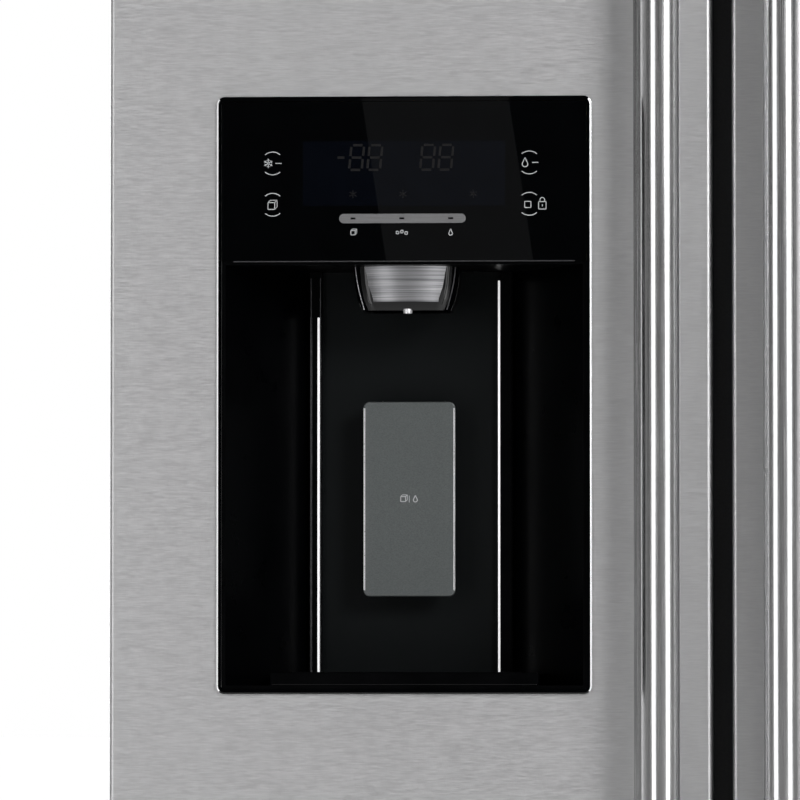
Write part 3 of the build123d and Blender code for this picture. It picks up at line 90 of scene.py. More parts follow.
# The backdrop is white to the eye. What the steel and the glass mirror is a studio that is dark
# behind the camera and pale behind the refrigerator.
backdrop = bpy.data.worlds.new("backdrop")
backdrop.use_nodes = True
bpy.context.scene.world = backdrop
backdrop_nodes = backdrop.node_tree.nodes
backdrop_link = backdrop.node_tree.links.new
seen = backdrop_nodes["Background"]
seen.inputs["Color"].default_value = (1, 1, 1, 1)
mirrored = backdrop_nodes.new("ShaderNodeBackground")
way = backdrop_nodes.new("ShaderNodeTexCoord")
way_parts = backdrop_nodes.new("ShaderNodeSeparateXYZ")
brightness = backdrop_nodes.new("ShaderNodeMapRange")
brightness.inputs["From Min"].default_value = -0.3
brightness.inputs["From Max"].default_value = 0.8
brightness.inputs["To Min"].default_value = 0.02
brightness.inputs["To Max"].default_value = 0.75
backdrop_link(way.outputs["Generated"], way_parts.inputs["Vector"])
backdrop_link(way_parts.outputs["Y"], brightness.inputs["Value"])
backdrop_link(brightness.outputs["Result"], mirrored.inputs["Strength"])
sight = backdrop_nodes.new("ShaderNodeLightPath")
either = backdrop_nodes.new("ShaderNodeMixShader")
backdrop_link(sight.outputs["Is Camera Ray"], either.inputs["Fac"])
backdrop_link(mirrored.outputs["Background"], either.inputs[1])
backdrop_link(seen.outputs["Background"], either.inputs[2])
backdrop_link(either.outputs["Shader"], backdrop_nodes["World Output"].inputs["Surface"])


# The lamps are softboxes: a strong one high on the right, upright ones that draw the lines along
# the handles, soft ones for the sides, top and back, and four narrow ones, a little rolled, that
# lie as a slanting sheen on the control glass.
def softbox(name, place, aim, width, height, power, roll=0.0):
    lamp = bpy.data.lights.new(name, "AREA")
    lamp.shape = "RECTANGLE"
    lamp.size = width
    lamp.size_y = height
    lamp.energy = power
    stand = bpy.data.objects.new(name, lamp)
    bpy.context.scene.collection.objects.link(stand)
    stand.location = place
    turn = (Vector(aim) - Vector(place)).to_track_quat("-Z", "Y").to_matrix().to_4x4()
    stand.rotation_euler = (turn @ Matrix.Rotation(roll, 4, "Z")).to_euler()
    stand.visible_camera = False


softbox("softbox_key", (2.60, -3.9, 2.9), (-0.26, door_face, 1.1), 1.8, 1.5, 132)
softbox("softbox_above", (-0.6, -4.3, 3.3), (-0.26, door_face, 1.1), 1.6, 1.0, 6.5)
softbox("softbox_left", (-1.60, -2.28, 1.2), (-0.09, -0.36, 1.1), 0.95, 2.6, 14)
softbox("softbox_right", (1.56, -2.24, 1.2), (-0.09, -0.36, 1.1), 0.95, 2.6, 13)
softbox("softbox_far_right", (2.9, 1.3, 1.7), (0.3, 0.0, 0.9), 1.4, 2.4, 30)
softbox("softbox_far_left", (-2.8, 1.7, 1.5), (-0.4, 0.1, 0.9), 1.8, 2.4, 34)
softbox("softbox_top", (0.0, 0.2, 4.2), (0.0, 0.1, 1.7), 2.4, 2.0, 30)
softbox("softbox_back", (1.2, 4.2, 2.4), (0.0, 0.3, 0.9), 2.6, 2.2, 70)
glass_left_edge = -0.585
glass_power = 0.24
glass_roll = math.radians(8.6)
for number, reach in enumerate((0.08, 0.12, 0.16, 0.20)):
    glass_lamp_x = reach / 2 + glass_left_edge
    softbox(
        f"softbox_glass_{number}", (glass_lamp_x, -5.6, 1.6), (glass_lamp_x, door_face, 1.6),
        reach, 0.8, glass_power * reach, glass_roll,
    )


# The foam fills the space between the wrap and the liners. It is poured as a liquid and sets
# to a hard, pale yellow mass with fine cells.
def finish(
    name, dark, light, rough, scale, detail=2, metallic=0.0, bump=None, ends=(0.3, 0.7), sockets=()
):
    made = bpy.data.materials.new(name)
    made.use_nodes = True
    nodes = made.node_tree.nodes
    link = made.node_tree.links.new
    shader = nodes["Principled BSDF"]
    shader.inputs["Metallic"].default_value = metallic
    for socket, value in dict(sockets).items():
        shader.inputs[socket].default_value = value
    place = nodes.new("ShaderNodeTexCoord")
    stretch = nodes.new("ShaderNodeMapping")
    stretch.inputs["Scale"].default_value = scale if isinstance(scale, tuple) else (scale,) * 3
    noise = nodes.new("ShaderNodeTexNoise")
    noise.inputs["Scale"].default_value = 1.0
    noise.inputs["Detail"].default_value = detail
    link(place.outputs["Object"], stretch.inputs["Vector"])
    link(stretch.outputs["Vector"], noise.inputs["Vector"])
    pattern = noise.outputs["Fac"]
    shader.inputs["Base Color"].default_value = (*dark, 1)
    if light != dark:
        ramp = nodes.new("ShaderNodeValToRGB")
        for stop, position, colour in zip(ramp.color_ramp.elements, ends, (dark, light)):
            stop.position = position
            stop.color = (*colour, 1)
        link(pattern, ramp.inputs["Fac"])
        link(ramp.outputs["Color"], shader.inputs["Base Color"])
    smoothest, roughest = rough if isinstance(rough, tuple) else (rough, rough)
    shader.inputs["Roughness"].default_value = smoothest
    if roughest != smoothest:
        spread = nodes.new("ShaderNodeMapRange")
        spread.inputs["From Min"].default_value = 0.3
        spread.inputs["From Max"].default_value = 0.7
        spread.inputs["To Min"].default_value = smoothest
        spread.inputs["To Max"].default_value = roughest
        link(pattern, spread.inputs["Value"])
        link(spread.outputs["Result"], shader.inputs["Roughness"])
    if bump:
        rise = nodes.new("ShaderNodeBump")
        rise.inputs["Distance"].default_value = bump[0]
        rise.inputs["Strength"].default_value = bump[1]
        link(pattern, rise.inputs["Height"])
        link(rise.outputs["Normal"], shader.inputs["Normal"])
    return made


def coat_nodes(made, *nodes):
    for node in nodes:
        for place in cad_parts[node].material_slots:
            place.material = made


foam = finish("insulation", (0.66, 0.52, 0.28), (0.84, 0.73, 0.48), 0.85, 220, 6, bump=(0.0015, 1.0))
coat_nodes(foam, "cabinet_insulation", "freezer_door_foam", "fridge_door_foam")


# The liners are each one white sheet, drawn hot over a mould, so they have a soft gloss and a
# very slight orange peel.
liner_plastic = finish(
    "white_liner", (0.68, 0.69, 0.68), (0.72, 0.73, 0.72), (0.26, 0.36), 90, bump=(0.0003, 0.12),
)
coat_nodes(
    liner_plastic, "freezer_liner", "fridge_liner", "freezer_door_liner", "fridge_door_liner"
)


# The wrap is a steel sheet folded over both sides and the top, with a baked grey paint that is
# finely pebbled.
wrap_paint = finish(
    "painted_steel", (0.22, 0.225, 0.23), (0.29, 0.295, 0.30), (0.38, 0.50), 520, 3, metallic=0.35,
    bump=(0.0003, 0.5),
)
coat_nodes(wrap_paint, "cabinet_wrap")


# Back panel, base pan, bolts and machine room cover are galvanised sheet, left bare, with the
# faint large flakes of the zinc.
zinc = finish("zinc_steel", (0.46, 0.47, 0.48), (0.62, 0.63, 0.64), (0.36, 0.52), 60, 4, metallic=0.9)
coat_nodes(zinc, "back_panel", "base_pan", "hinge_bolts", "machine_room_cover")


# The hinges are thick steel plates with a dark electroplated finish, and their lids and the
# doors' end caps are moulded in grey plastic.
hinge_plate = finish(
    "hinge_steel", (0.24, 0.24, 0.25), (0.36, 0.36, 0.37), (0.28, 0.44), 140, 3, metallic=0.9,
)
coat_nodes(hinge_plate, "upper_hinges", "lower_hinges")

grey_plastic = finish(
    "grey_plastic", (0.145, 0.15, 0.155), (0.175, 0.18, 0.185), (0.40, 0.55), 700,
    bump=(0.0002, 0.5),
)
coat_nodes(
    grey_plastic, "hinge_covers", "freezer_door_caps", "fridge_door_caps", "evaporator_fan",
    "ice_auger",
)


# Feet and rollers are moulded plastic. In the machine room the compressor's pot and the
# condenser's tubes are black enamel and the valve is brass. The evaporator is aluminium.
foot_plastic = finish("foot_plastic", (0.085, 0.085, 0.09), (0.13, 0.13, 0.135), (0.42, 0.62), 260, 4)
coat_nodes(foot_plastic, "foot_left", "foot_right")

satin_black = finish("black_satin", (0.018, 0.018, 0.020), (0.030, 0.030, 0.032), (0.36, 0.50), 600)
# The front frame's satin black is partly its own paint and partly painted shade, darkening the deep gap
# between the doors.
coat_nodes(
    satin_black, "front_frame", "drain_pan", "power_inlet", "roller_left", "roller_right",
    "condenser_fan", "ice_flap",
)

pot_enamel = finish(
    "compressor_black", (0.014, 0.014, 0.015), (0.028, 0.028, 0.03), (0.22, 0.38), 80, 3,
    bump=(0.0003, 0.4), sockets={"Coat Weight": 0.3},
)
coat_nodes(pot_enamel, "compressor", "condenser")

brass = finish(
    "valve_brass", (0.50, 0.33, 0.13), (0.68, 0.50, 0.24), (0.28, 0.46), 180, 4, metallic=1.0,
)
coat_nodes(brass, "water_valve")

fins = finish(
    "fin_aluminium", (0.60, 0.61, 0.62), (0.78, 0.79, 0.80), (0.28, 0.44), (40, 40, 900),
    metallic=1.0,
)
coat_nodes(fins, "evaporator")


# Inside, the covers and the freezer's shelves are white plastic, the fridge's shelves toughened
# glass, the drawers and bins clear polystyrene, and the doors' gaskets soft dark rubber.
white_plastic = finish("white_plastic", (0.60, 0.61, 0.61), (0.65, 0.66, 0.66), (0.30, 0.42), 420)
coat_nodes(
    white_plastic, "evaporator_cover", "fridge_air_duct", "freezer_shelves", "ice_maker", "ice_duct"
)

shelf_glass = finish(
    "shelf_glass", (0.72, 0.84, 0.81), (0.72, 0.84, 0.81), (0.04, 0.09), 30, 1,
    sockets={"Alpha": 0.35},
)
coat_nodes(shelf_glass, "fridge_shelves")

clear_plastic = finish(
    "clear_plastic", (0.76, 0.82, 0.86), (0.84, 0.89, 0.92), (0.08, 0.18), 50,
    sockets={"Alpha": 0.38},
)
coat_nodes(
    clear_plastic, "ice_bucket", "freezer_drawer_lower", "freezer_drawer_upper", "crisper_lower",
    "crisper_upper", "freezer_door_bins", "fridge_door_bins",
)

gasket_rubber = finish("gasket_rubber", (0.035, 0.036, 0.038), (0.06, 0.061, 0.063), (0.5, 0.7), 160, 3)
coat_nodes(gasket_rubber, "freezer_door_gasket", "fridge_door_gasket")


# The door skins are stainless sheet, brushed across the door, so the fine scratches are short
# and level. They are clear coated against finger marks.
brushed_steel = finish(
    "brushed_steel", (0.625, 0.623, 0.629), (0.693, 0.691, 0.697), (0.38, 0.47), (130, 130, 1700),
    3, metallic=1.0, bump=(0.00008, 0.3),
)
coat_nodes(brushed_steel, "freezer_door_skin", "fridge_door_skin")


# Each handle is one long steel sheet bent to a hook: up from a flange on the door, round a
# broad nose, and back in a short lip behind the fingers. A plate closes each end.
def slab(bm, low, high):
    made = bmesh.ops.create_cube(bm, size=1.0)["verts"]
    bmesh.ops.scale(bm, vec=Vector(high) - Vector(low), verts=made)
    bmesh.ops.translate(bm, vec=(Vector(high) + Vector(low)) / 2, verts=made)
    return made


def soften(bm, width, edges=None, segments=2):
    bmesh.ops.bevel(
        bm, geom=edges or bm.edges[:], offset=width, offset_type="OFFSET", segments=segments,
        profile=0.5, affect="EDGES", material=-1, clamp_overlap=True,
    )


def edges_along(verts, axis):
    touching = {e for v in verts for e in v.link_edges}
    return [e for e in touching if abs(e.verts[0].co[axis] - e.verts[1].co[axis]) > 1e-5]


def piece(bm, name, body, made, sharp=35):
    bmesh.ops.recalc_face_normals(bm, faces=bm.faces[:])
    mesh = bpy.data.meshes.new(name)
    bm.to_mesh(mesh)
    bm.free()
    mesh.polygons.foreach_set("use_smooth", [True] * len(mesh.polygons))
    mesh.set_sharp_from_angle(angle=math.radians(sharp))
    mesh.materials.append(made)
    thing = bpy.data.objects.new(name, mesh)
    bpy.context.scene.collection.objects.link(thing)
    even = thing.modifiers.new("even_shading", "WEIGHTED_NORMAL")
    even.keep_sharp = True
    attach(thing, body)
    return thing


def run_sheet(bm, edge, way):
    made = bmesh.ops.extrude_edge_only(bm, edges=[edge])["geom"]
    ends = [part for part in made if isinstance(part, bmesh.types.BMVert)]
    bmesh.ops.translate(bm, vec=way, verts=ends)
    return next(
        part for part in made
        if isinstance(part, bmesh.types.BMEdge) and all(v in ends for v in part.verts)
    )


def turn_sheet(bm, edge, centre, angle, steps):
    made = bmesh.ops.spin(
        bm, geom=[edge, *edge.verts], cent=centre, axis=(0, 0, 1), angle=angle, steps=steps,
    )["geom_last"]
    return next(part for part in made if isinstance(part, bmesh.types.BMEdge))


handle_steel = finish(
    "handle_steel", (0.84, 0.84, 0.845), (0.92, 0.92, 0.925), (0.20, 0.28), (2600, 2600, 14),
    metallic=1.0,
)
nose_width = 0.025
nose_radius = 0.012
hook_depth = 0.0045
groove_width = 0.003
flange_thickness = 0.003
lip_height = 0.008
handle_wall = 0.0022
arc_steps = 12
end_plate = 0.006
end_corner = 0.006
end_inset = handle_wall + 0.0001
for side in ("freezer", "fridge"):
    low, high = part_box(side + "_handle")
    toward = -1 if side == "freezer" else 1
    near = high.x if side == "freezer" else low.x
    nose_front = low.y
    turn_line = nose_front + nose_radius
    far = near + toward * nose_width
    handle_bm = bmesh.new()
    foot = handle_bm.verts.new((near, turn_line + hook_depth, low.z))
    head = handle_bm.verts.new((near, turn_line + hook_depth, high.z))
    bend = handle_bm.edges.new((foot, head))
    bend = run_sheet(handle_bm, bend, (0, -hook_depth, 0))
    near_centre = (near + toward * nose_radius, turn_line, low.z)
    bend = turn_sheet(handle_bm, bend, near_centre, toward * math.pi / 2, arc_steps)
    bend = run_sheet(handle_bm, bend, (toward * (nose_width - 2 * nose_radius), 0, 0))
    far_centre = (far - toward * nose_radius, turn_line, low.z)
    bend = turn_sheet(handle_bm, bend, far_centre, toward * math.pi / 2, arc_steps)
    bend = run_sheet(handle_bm, bend, (0, door_face - flange_thickness - turn_line, 0))
    bend = run_sheet(handle_bm, bend, (toward * groove_width, 0, 0))
    bend = run_sheet(handle_bm, bend, (0, flange_thickness - lip_height, 0))
    bmesh.ops.recalc_face_normals(handle_bm, faces=handle_bm.faces[:])
    bmesh.ops.solidify(handle_bm, geom=handle_bm.faces[:], thickness=handle_wall)
    for end in (low.z, high.z - end_plate):
        plate = slab(
            handle_bm,
            (min(near, far) + end_inset, nose_front + 0.0025, end),
            (max(near, far) - end_inset, door_face, end + end_plate),
        )
        outer = [e for e in edges_along(plate, 2) if e.verts[0].co.y < turn_line]
        soften(handle_bm, end_corner, outer, 4)
    handle = piece(handle_bm, side + "_handle_bar", side + "_door", handle_steel)
    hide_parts(side + "_handle")


# The dispenser's frame is a slim moulding that hides the cut edge of the door's skin. Its side
# edges are polished bright and its face is black. Its top and underside are black as painted
# shade, so that only the sides show bright. The recess is black too.
def facing_front(bm):
    bm.normal_update()
    return next(f for f in bm.faces if f.normal.y < -0.99)


def frame_ring(bm, low, high, radius, wall, chamfer):
    made = slab(bm, low, high)
    soften(bm, radius, edges_along(made, 1), 6)
    front = facing_front(bm)
    bmesh.ops.inset_region(bm, faces=[front], thickness=chamfer, use_even_offset=True)
    bmesh.ops.translate(bm, vec=(0, -chamfer / 3, 0), verts=list(front.verts))
    bm.normal_update()
    ends = [f for f in bm.faces if abs(f.normal.y) > 0.99]
    for face in ends:
        reach = wall - chamfer if face.normal.y < 0 else wall
        bmesh.ops.inset_region(bm, faces=[face], thickness=reach, use_even_offset=True)
    openings = [e for face in ends for e in face.edges]
    bmesh.ops.delete(bm, geom=ends, context="FACES_ONLY")
    bmesh.ops.bridge_loops(bm, edges=openings)


bezel_bright = finish(
    "bezel_metal", (0.76, 0.76, 0.77), (0.88, 0.88, 0.89), (0.26, 0.36), 900, metallic=1.0,
)
gloss_black = finish(
    "black_gloss", (0.0003, 0.0004, 0.0006), (0.0006, 0.0008, 0.0011), (0.002, 0.010), 35, 4,
)
dispenser_low, dispenser_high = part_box("dispenser_bezel")
bezel_bm = bmesh.new()
bezel_chamfer = 0.0009
bezel_front = dispenser_low + Vector((0, bezel_chamfer / 3, 0))
frame_ring(bezel_bm, bezel_front, dispenser_high, 0.0050, 0.0030, bezel_chamfer)
bezel = piece(bezel_bm, "dispenser_frame", "freezer_door", bezel_bright, 12)
bezel.data.materials.append(gloss_black)
# Painted shade: faces turned up and down take the black material; only the sides keep the bright metal.
for face in bezel.data.polygons:
    if face.normal.y < -0.98 or abs(face.normal.z) > 0.2:
        face.material_index = 1
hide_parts("dispenser_bezel")
coat_nodes(gloss_black, "control_glass")
recess_black = finish(
    "recess_black", (0.0003, 0.0004, 0.0006), (0.0006, 0.0007, 0.0010), (0.26, 0.36), 35, 4,
    sockets={"Specular IOR Level": 0.06},
)
coat_nodes(recess_black, "dispenser_housing")


# The control panel is one black glass. The display's window behind it is a shade bluer, its
# unlit segments show faintly, and under the glass runs a thin polished edge.
def blocks(name, body, made, spans, edge=0.0, segments=2):
    bm = bmesh.new()
    for low, high in spans:
        slab(bm, low, high)
    if edge:
        soften(bm, edge, segments=segments)
    return piece(bm, name, body, made)


glass_low, glass_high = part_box("control_glass")
panel_middle = (glass_low.x + glass_high.x) / 2
glass_face = glass_low.y
print_depth = 0.00012
window_glass = finish(
    "display_window", (0.0008, 0.0013, 0.0028), (0.0014, 0.0020, 0.0038), 0.006, 60, 3,
)
window_half = 0.0655
window_top = glass_high.z - 0.0257
window_bottom = glass_high.z - 0.0676
window_span = (
    (panel_middle - window_half, glass_face - print_depth / 2, window_bottom),
    (panel_middle + window_half, glass_face, window_top),
)
blocks("display_window", "freezer_door", window_glass, [window_span])

glass_edge_inset = 0.0075
glass_edge_span = (
    (glass_low.x + glass_edge_inset, glass_face - 0.0003, glass_low.z - 0.0007),
    (glass_high.x - glass_edge_inset, glass_face + 0.0020, glass_low.z),
)
edge_metal = finish("edge_metal", (0.07, 0.07, 0.075), (0.12, 0.12, 0.125), 0.4, 900, metallic=1.0)
blocks("glass_lower_edge", "freezer_door", edge_metal, [glass_edge_span], 0.0002)


# The display's segments are printed masks: unlit, they are a little lighter than the window.
# Each digit leans over slightly, and one minus sign stands before the freezer's digits.
def printed_bar(bm, start, end, width, face=glass_face):
    along = Vector((end[0] - start[0], 0, end[1] - start[1]))
    middle = Vector(((start[0] + end[0]) / 2, face - print_depth / 2, (start[1] + end[1]) / 2))
    made = bmesh.ops.create_cube(bm, size=1.0)["verts"]
    bmesh.ops.scale(bm, vec=(along.length, print_depth, width), verts=made)
    lean = Matrix.Rotation(-math.atan2(along.z, along.x), 3, "Y")
    bmesh.ops.rotate(bm, cent=(0, 0, 0), matrix=lean, verts=made)
    bmesh.ops.translate(bm, vec=middle, verts=made)


def patch(bm, width, depth, place):
    made = bmesh.ops.create_grid(bm, x_segments=1, y_segments=1, size=0.5)["verts"]
    bmesh.ops.scale(bm, vec=(width, depth, 1), verts=made)
    bmesh.ops.translate(bm, vec=place, verts=made)
    return made


def printed_arc(bm, centre, radius, width, first, sweep, face=glass_face, steps=20):
    made = patch(bm, width, print_depth, (radius, -print_depth / 2, 0))
    turn = Matrix.Rotation(-first, 3, "Y")
    bmesh.ops.rotate(bm, cent=(0, 0, 0), matrix=turn, verts=made)
    bmesh.ops.translate(bm, vec=(centre[0], face, centre[1]), verts=made)
    start = list({f for v in made for f in v.link_faces})
    axis_point = (centre[0], face, centre[1])
    full = abs(sweep) >= 2 * math.pi - 1e-6
    bmesh.ops.spin(
        bm, geom=start, cent=axis_point, axis=(0, -1, 0), angle=sweep, steps=steps, use_merge=full,
    )


segment_ink = finish(
    "display_segments", (0.0050, 0.0047, 0.0050), (0.0075, 0.0070, 0.0075), 0.3, 900, 1,
)
digit_width = 0.0082
digit_height = 0.0160
digit_pitch = 0.0118
digit_lean = 0.10
stroke = 0.0015
gap = 0.0010
digits_bottom = glass_high.z - 0.0443
segments_bm = bmesh.new()
segment_face = glass_face - print_depth / 2
for first_digit in (panel_middle - 0.0355, panel_middle + 0.0105):
    for place in range(2):
        left = first_digit + place * digit_pitch
        for level in range(3):
            height = level * digit_height / 2
            shift = left + height * digit_lean
            level_z = digits_bottom + height
            bar = (shift + gap, level_z), (shift + digit_width - gap, level_z)
            printed_bar(segments_bm, *bar, stroke, segment_face)
        for level in range(2):
            for across in (0, digit_width):
                low_end = level * digit_height / 2 + gap
                high_end = (level + 1) * digit_height / 2 - gap
                bar = [
                    (left + across + end * digit_lean, digits_bottom + end)
                    for end in (low_end, high_end)
                ]
                printed_bar(segments_bm, *bar, stroke, segment_face)
minus_z = digits_bottom + digit_height / 2
minus = (panel_middle - 0.0430, minus_z), (panel_middle - 0.0385, minus_z)
printed_bar(segments_bm, *minus, stroke, segment_face)
window_marks_z = glass_high.z - 0.0600
for mark_x in (-0.0330, -0.0006, 0.0450):
    for turn in range(3):
        angle = turn * math.pi / 3 + math.pi / 6
        reach = Vector((math.cos(angle), math.sin(angle))) * 0.0026
        centre = Vector((panel_middle + mark_x, window_marks_z))
        printed_bar(segments_bm, centre - reach, centre + reach, 0.0005, segment_face)
piece(segments_bm, "display_segments", "freezer_door", segment_ink)


# The touch keys are printed on the glass in pale grey: an arc above and below each key, with a
# small sign between them. Three more signs stand in a row under the mode strip.
key_print = finish("key_print", (0.42, 0.43, 0.44), (0.50, 0.51, 0.52), 0.5, 1500, 1)
key_radius = 0.0074
line = 0.00055
arc_sweep = math.radians(82)
key_columns = (panel_middle - 0.0851, panel_middle + 0.0812)
key_rows = (glass_high.z - 0.0399, glass_high.z - 0.0667)


def snowflake(bm, centre, reach):
    for turn in range(3):
        angle = turn * math.pi / 3 + math.pi / 6
        way = Vector((math.cos(angle), math.sin(angle))) * reach
        printed_bar(bm, centre - way, centre + way, line)
        for end in (-1, 1):
            fork = centre + way * 0.55 * end
            for lean in (-0.9, 0.9):
                twig = Vector((math.cos(angle + lean), math.sin(angle + lean))) * reach * 0.35 * end
                printed_bar(bm, fork, fork + twig, line * 0.8)


def square(bm, centre, half, face=glass_face):
    corners = [centre + Vector((x, z)) * half for x, z in ((-1, -1), (1, -1), (1, 1), (-1, 1))]
    for corner, following in zip(corners, corners[1:] + corners[:1]):
        printed_bar(bm, corner, following, line, face)


def cube_sign(bm, centre, half, face=glass_face):
    square(bm, centre, half, face)
    back = Vector((half * 0.7, half * 0.7))
    corners = [centre + Vector((x, z)) * half for x, z in ((-1, 1), (1, 1), (1, -1))]
    for corner in corners:
        printed_bar(bm, corner, corner + back, line * 0.8, face)
    printed_bar(bm, corners[0] + back, corners[1] + back, line * 0.8, face)
    printed_bar(bm, corners[1] + back, corners[2] + back, line * 0.8, face)


def drop_sign(bm, centre, radius, face=glass_face):
    printed_arc(bm, centre, radius, line, math.radians(-205), math.radians(230), face)
    tip = centre + Vector((0, radius * 2.3))
    for across in (-1, 1):
        shoulder = centre + Vector((across * radius * 0.9, radius * 0.42))
        printed_bar(bm, shoulder, tip, line, face)


def padlock_sign(bm, centre, half):
    square(bm, centre, half)
    hasp = centre + Vector((0, half))
    printed_arc(bm, hasp + Vector((0, half * 0.5)), half * 0.62, line, 0, math.pi)
    for across in (-0.62, 0.62):
        foot = hasp + Vector((across * half, 0))
        printed_bar(bm, foot, foot + Vector((0, half * 0.5)), line)
    printed_bar(bm, centre - Vector((0, half * 0.3)), centre + Vector((0, half * 0.3)), line)


keys_bm = bmesh.new()
for key_x in key_columns:
    for key_z in key_rows:
        for middle in (math.pi / 2, -math.pi / 2):
            start = middle - arc_sweep / 2
            printed_arc(keys_bm, (key_x, key_z), key_radius, line, start, arc_sweep)
left_column, right_column = key_columns
upper_row, lower_row = key_rows
for key_x in key_columns:
    dash = (key_x + 0.0018, upper_row), (key_x + 0.0058, upper_row)
    printed_bar(keys_bm, *dash, line)
snowflake(keys_bm, Vector((left_column - 0.0028, upper_row)), 0.0030)
cube_sign(keys_bm, Vector((left_column - 0.0008, lower_row - 0.0008)), 0.0022)
drop_sign(keys_bm, Vector((right_column - 0.0028, upper_row - 0.0010)), 0.0018)
square(keys_bm, Vector((right_column - 0.0010, lower_row - 0.0004)), 0.0020)
padlock_sign(keys_bm, Vector((right_column + 0.0084, lower_row - 0.0010)), 0.0024)
signs_z = glass_high.z - 0.0850
sign_columns = [panel_middle + across for across in (-0.0329, -0.0013, 0.0303)]
cube_sign(keys_bm, Vector((sign_columns[0], signs_z)), 0.0014)
for across, rise in ((-0.0028, 0), (0, 0.0006), (0.0028, -0.0003)):
    square(keys_bm, Vector((sign_columns[1] + across, signs_z + rise)), 0.0008)
drop_sign(keys_bm, Vector((sign_columns[2], signs_z - 0.0006)), 0.0012)
piece(keys_bm, "touch_key_print", "freezer_door", key_print)


# The mode strip is a flat silver bar with round ends, set on the glass. A dark dash marks each
# of the three places that a finger slides to.
def rounded_plate(bm, low, high, corner, corner_steps, rim, rim_steps):
    made = slab(bm, low, high)
    soften(bm, corner, edges_along(made, 1), corner_steps)
    soften(bm, rim, list(facing_front(bm).edges), rim_steps)


strip_silver = finish(
    "mode_strip", (0.185, 0.185, 0.19), (0.24, 0.24, 0.245), 0.45, (60, 60, 2400), metallic=0.6,
)
strip_low = Vector((panel_middle - 0.0419, glass_face - 0.0006, glass_high.z - 0.0789))
strip_high = Vector((panel_middle + 0.0400, glass_face, glass_high.z - 0.0728))
strip_bm = bmesh.new()
strip_corner = (strip_high.z - strip_low.z) * 0.49
rounded_plate(strip_bm, strip_low, strip_high, strip_corner, 8, 0.0002, 2)
piece(strip_bm, "mode_strip", "freezer_door", strip_silver)
dashes_bm = bmesh.new()
dash_z = (strip_low.z + strip_high.z) / 2
dash_half = 0.0016
for dash_x in sign_columns:
    dash = (dash_x - dash_half, dash_z), (dash_x + dash_half, dash_z)
    printed_bar(dashes_bm, *dash, 0.0012, strip_low.y)
piece(dashes_bm, "mode_dashes", "freezer_door", recess_black)


# The back plate and the drip tray are matt black. The paddle is a grey metallic pad with a small
# pale cube and drop printed in its middle. A strip of bright metal down each side is a painted
# highlight on the pad's side edges.
matte_black = finish(
    "dark_matte", (0.0012, 0.0022, 0.0025), (0.0022, 0.0032, 0.0036), (0.40, 0.55), 800,
    sockets={"Specular IOR Level": 0.12},
)
coat_nodes(matte_black, "dispenser_back_plate")
coat_nodes(recess_black, "drip_tray")
paddle_grey = finish(
    "paddle_grey", (0.107, 0.118, 0.119), (0.148, 0.159, 0.158), (0.38, 0.48), (1400, 1400, 2200),
    metallic=0.7, bump=(0.00005, 0.4),
)
coat_nodes(paddle_grey, "dispenser_paddle")
paddle_low, paddle_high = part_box("dispenser_paddle")
pad_corner = 0.0040
pad_face = paddle_low.y - 0.0010
pad_bm = bmesh.new()
rounded_plate(
    pad_bm, (paddle_low.x, pad_face, paddle_low.z), (paddle_high.x, paddle_low.y, paddle_high.z),
    pad_corner, 6, 0.0008, 3,
)
piece(pad_bm, "paddle_pad", "paddle", paddle_grey)
# Painted highlight: bright metal strips on the pad's left and right edges only.
highlight_strip_width = 0.0012
highlight_strip_spans = [
    (
        (highlight_strip_x, pad_face - 0.0001, paddle_low.z + pad_corner),
        (highlight_strip_x + highlight_strip_width, paddle_low.y, paddle_high.z - pad_corner),
    )
    for highlight_strip_x in (paddle_low.x, paddle_high.x - highlight_strip_width)
]
blocks("paddle_painted_highlights", "paddle", bezel_bright, highlight_strip_spans, 0.0003)
pad_signs_bm = bmesh.new()
sign_middle = Vector(((paddle_low.x + paddle_high.x) / 2, (paddle_low.z + paddle_high.z) / 2))
cube_sign(pad_signs_bm, sign_middle + Vector((-0.0040, 0.0)), 0.0016, pad_face)
drop_sign(pad_signs_bm, sign_middle + Vector((0.0040, -0.0006)), 0.0013, pad_face)
divider = Vector((0, 0.0022))
printed_bar(pad_signs_bm, sign_middle - divider, sign_middle + divider, 0.0004, pad_face)
piece(pad_signs_bm, "paddle_signs", "paddle", key_print)


# The spout is a gloss black, bucket-shaped shroud with a brushed steel shield on its front. A
# thin metal tube down each side is a painted highlight on the shroud's edges, bright steel on the
# left and dark metal on the right as painted shade. Under it the end of the water tube shows,
# near white, partly its own pale colour and partly a painted glint.
def shroud_ring(bm, half_width, half_depth, corner, middle, height):
    made = patch(bm, 2 * half_width, 2 * half_depth, (middle.x, middle.y, height))
    bmesh.ops.bevel(
        bm, geom=made, offset=corner, offset_type="OFFSET", segments=6, profile=0.5,
        affect="VERTICES", material=-1,
    )
    face = next(f for f in bm.faces if abs(f.calc_center_median().z - height) < 1e-6)
    edges = list(face.edges)
    bmesh.ops.delete(bm, geom=[face], context="FACES_ONLY")
    return edges


def bent_tube(name, points, radius, body, made):
    line = bpy.data.curves.new(name, "CURVE")
    line.dimensions = "3D"
    line.bevel_depth = radius
    line.bevel_resolution = 3
    line.resolution_u = 8
    line.use_fill_caps = True
    path = line.splines.new("NURBS")
    path.points.add(len(points) - 1)
    for point, place in zip(path.points, points):
        point.co = (*place, 1)
    path.order_u = 3
    path.use_endpoint_u = True
    line.materials.append(made)
    thing = bpy.data.objects.new(name, line)
    bpy.context.scene.collection.objects.link(thing)
    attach(thing, body)
    return thing


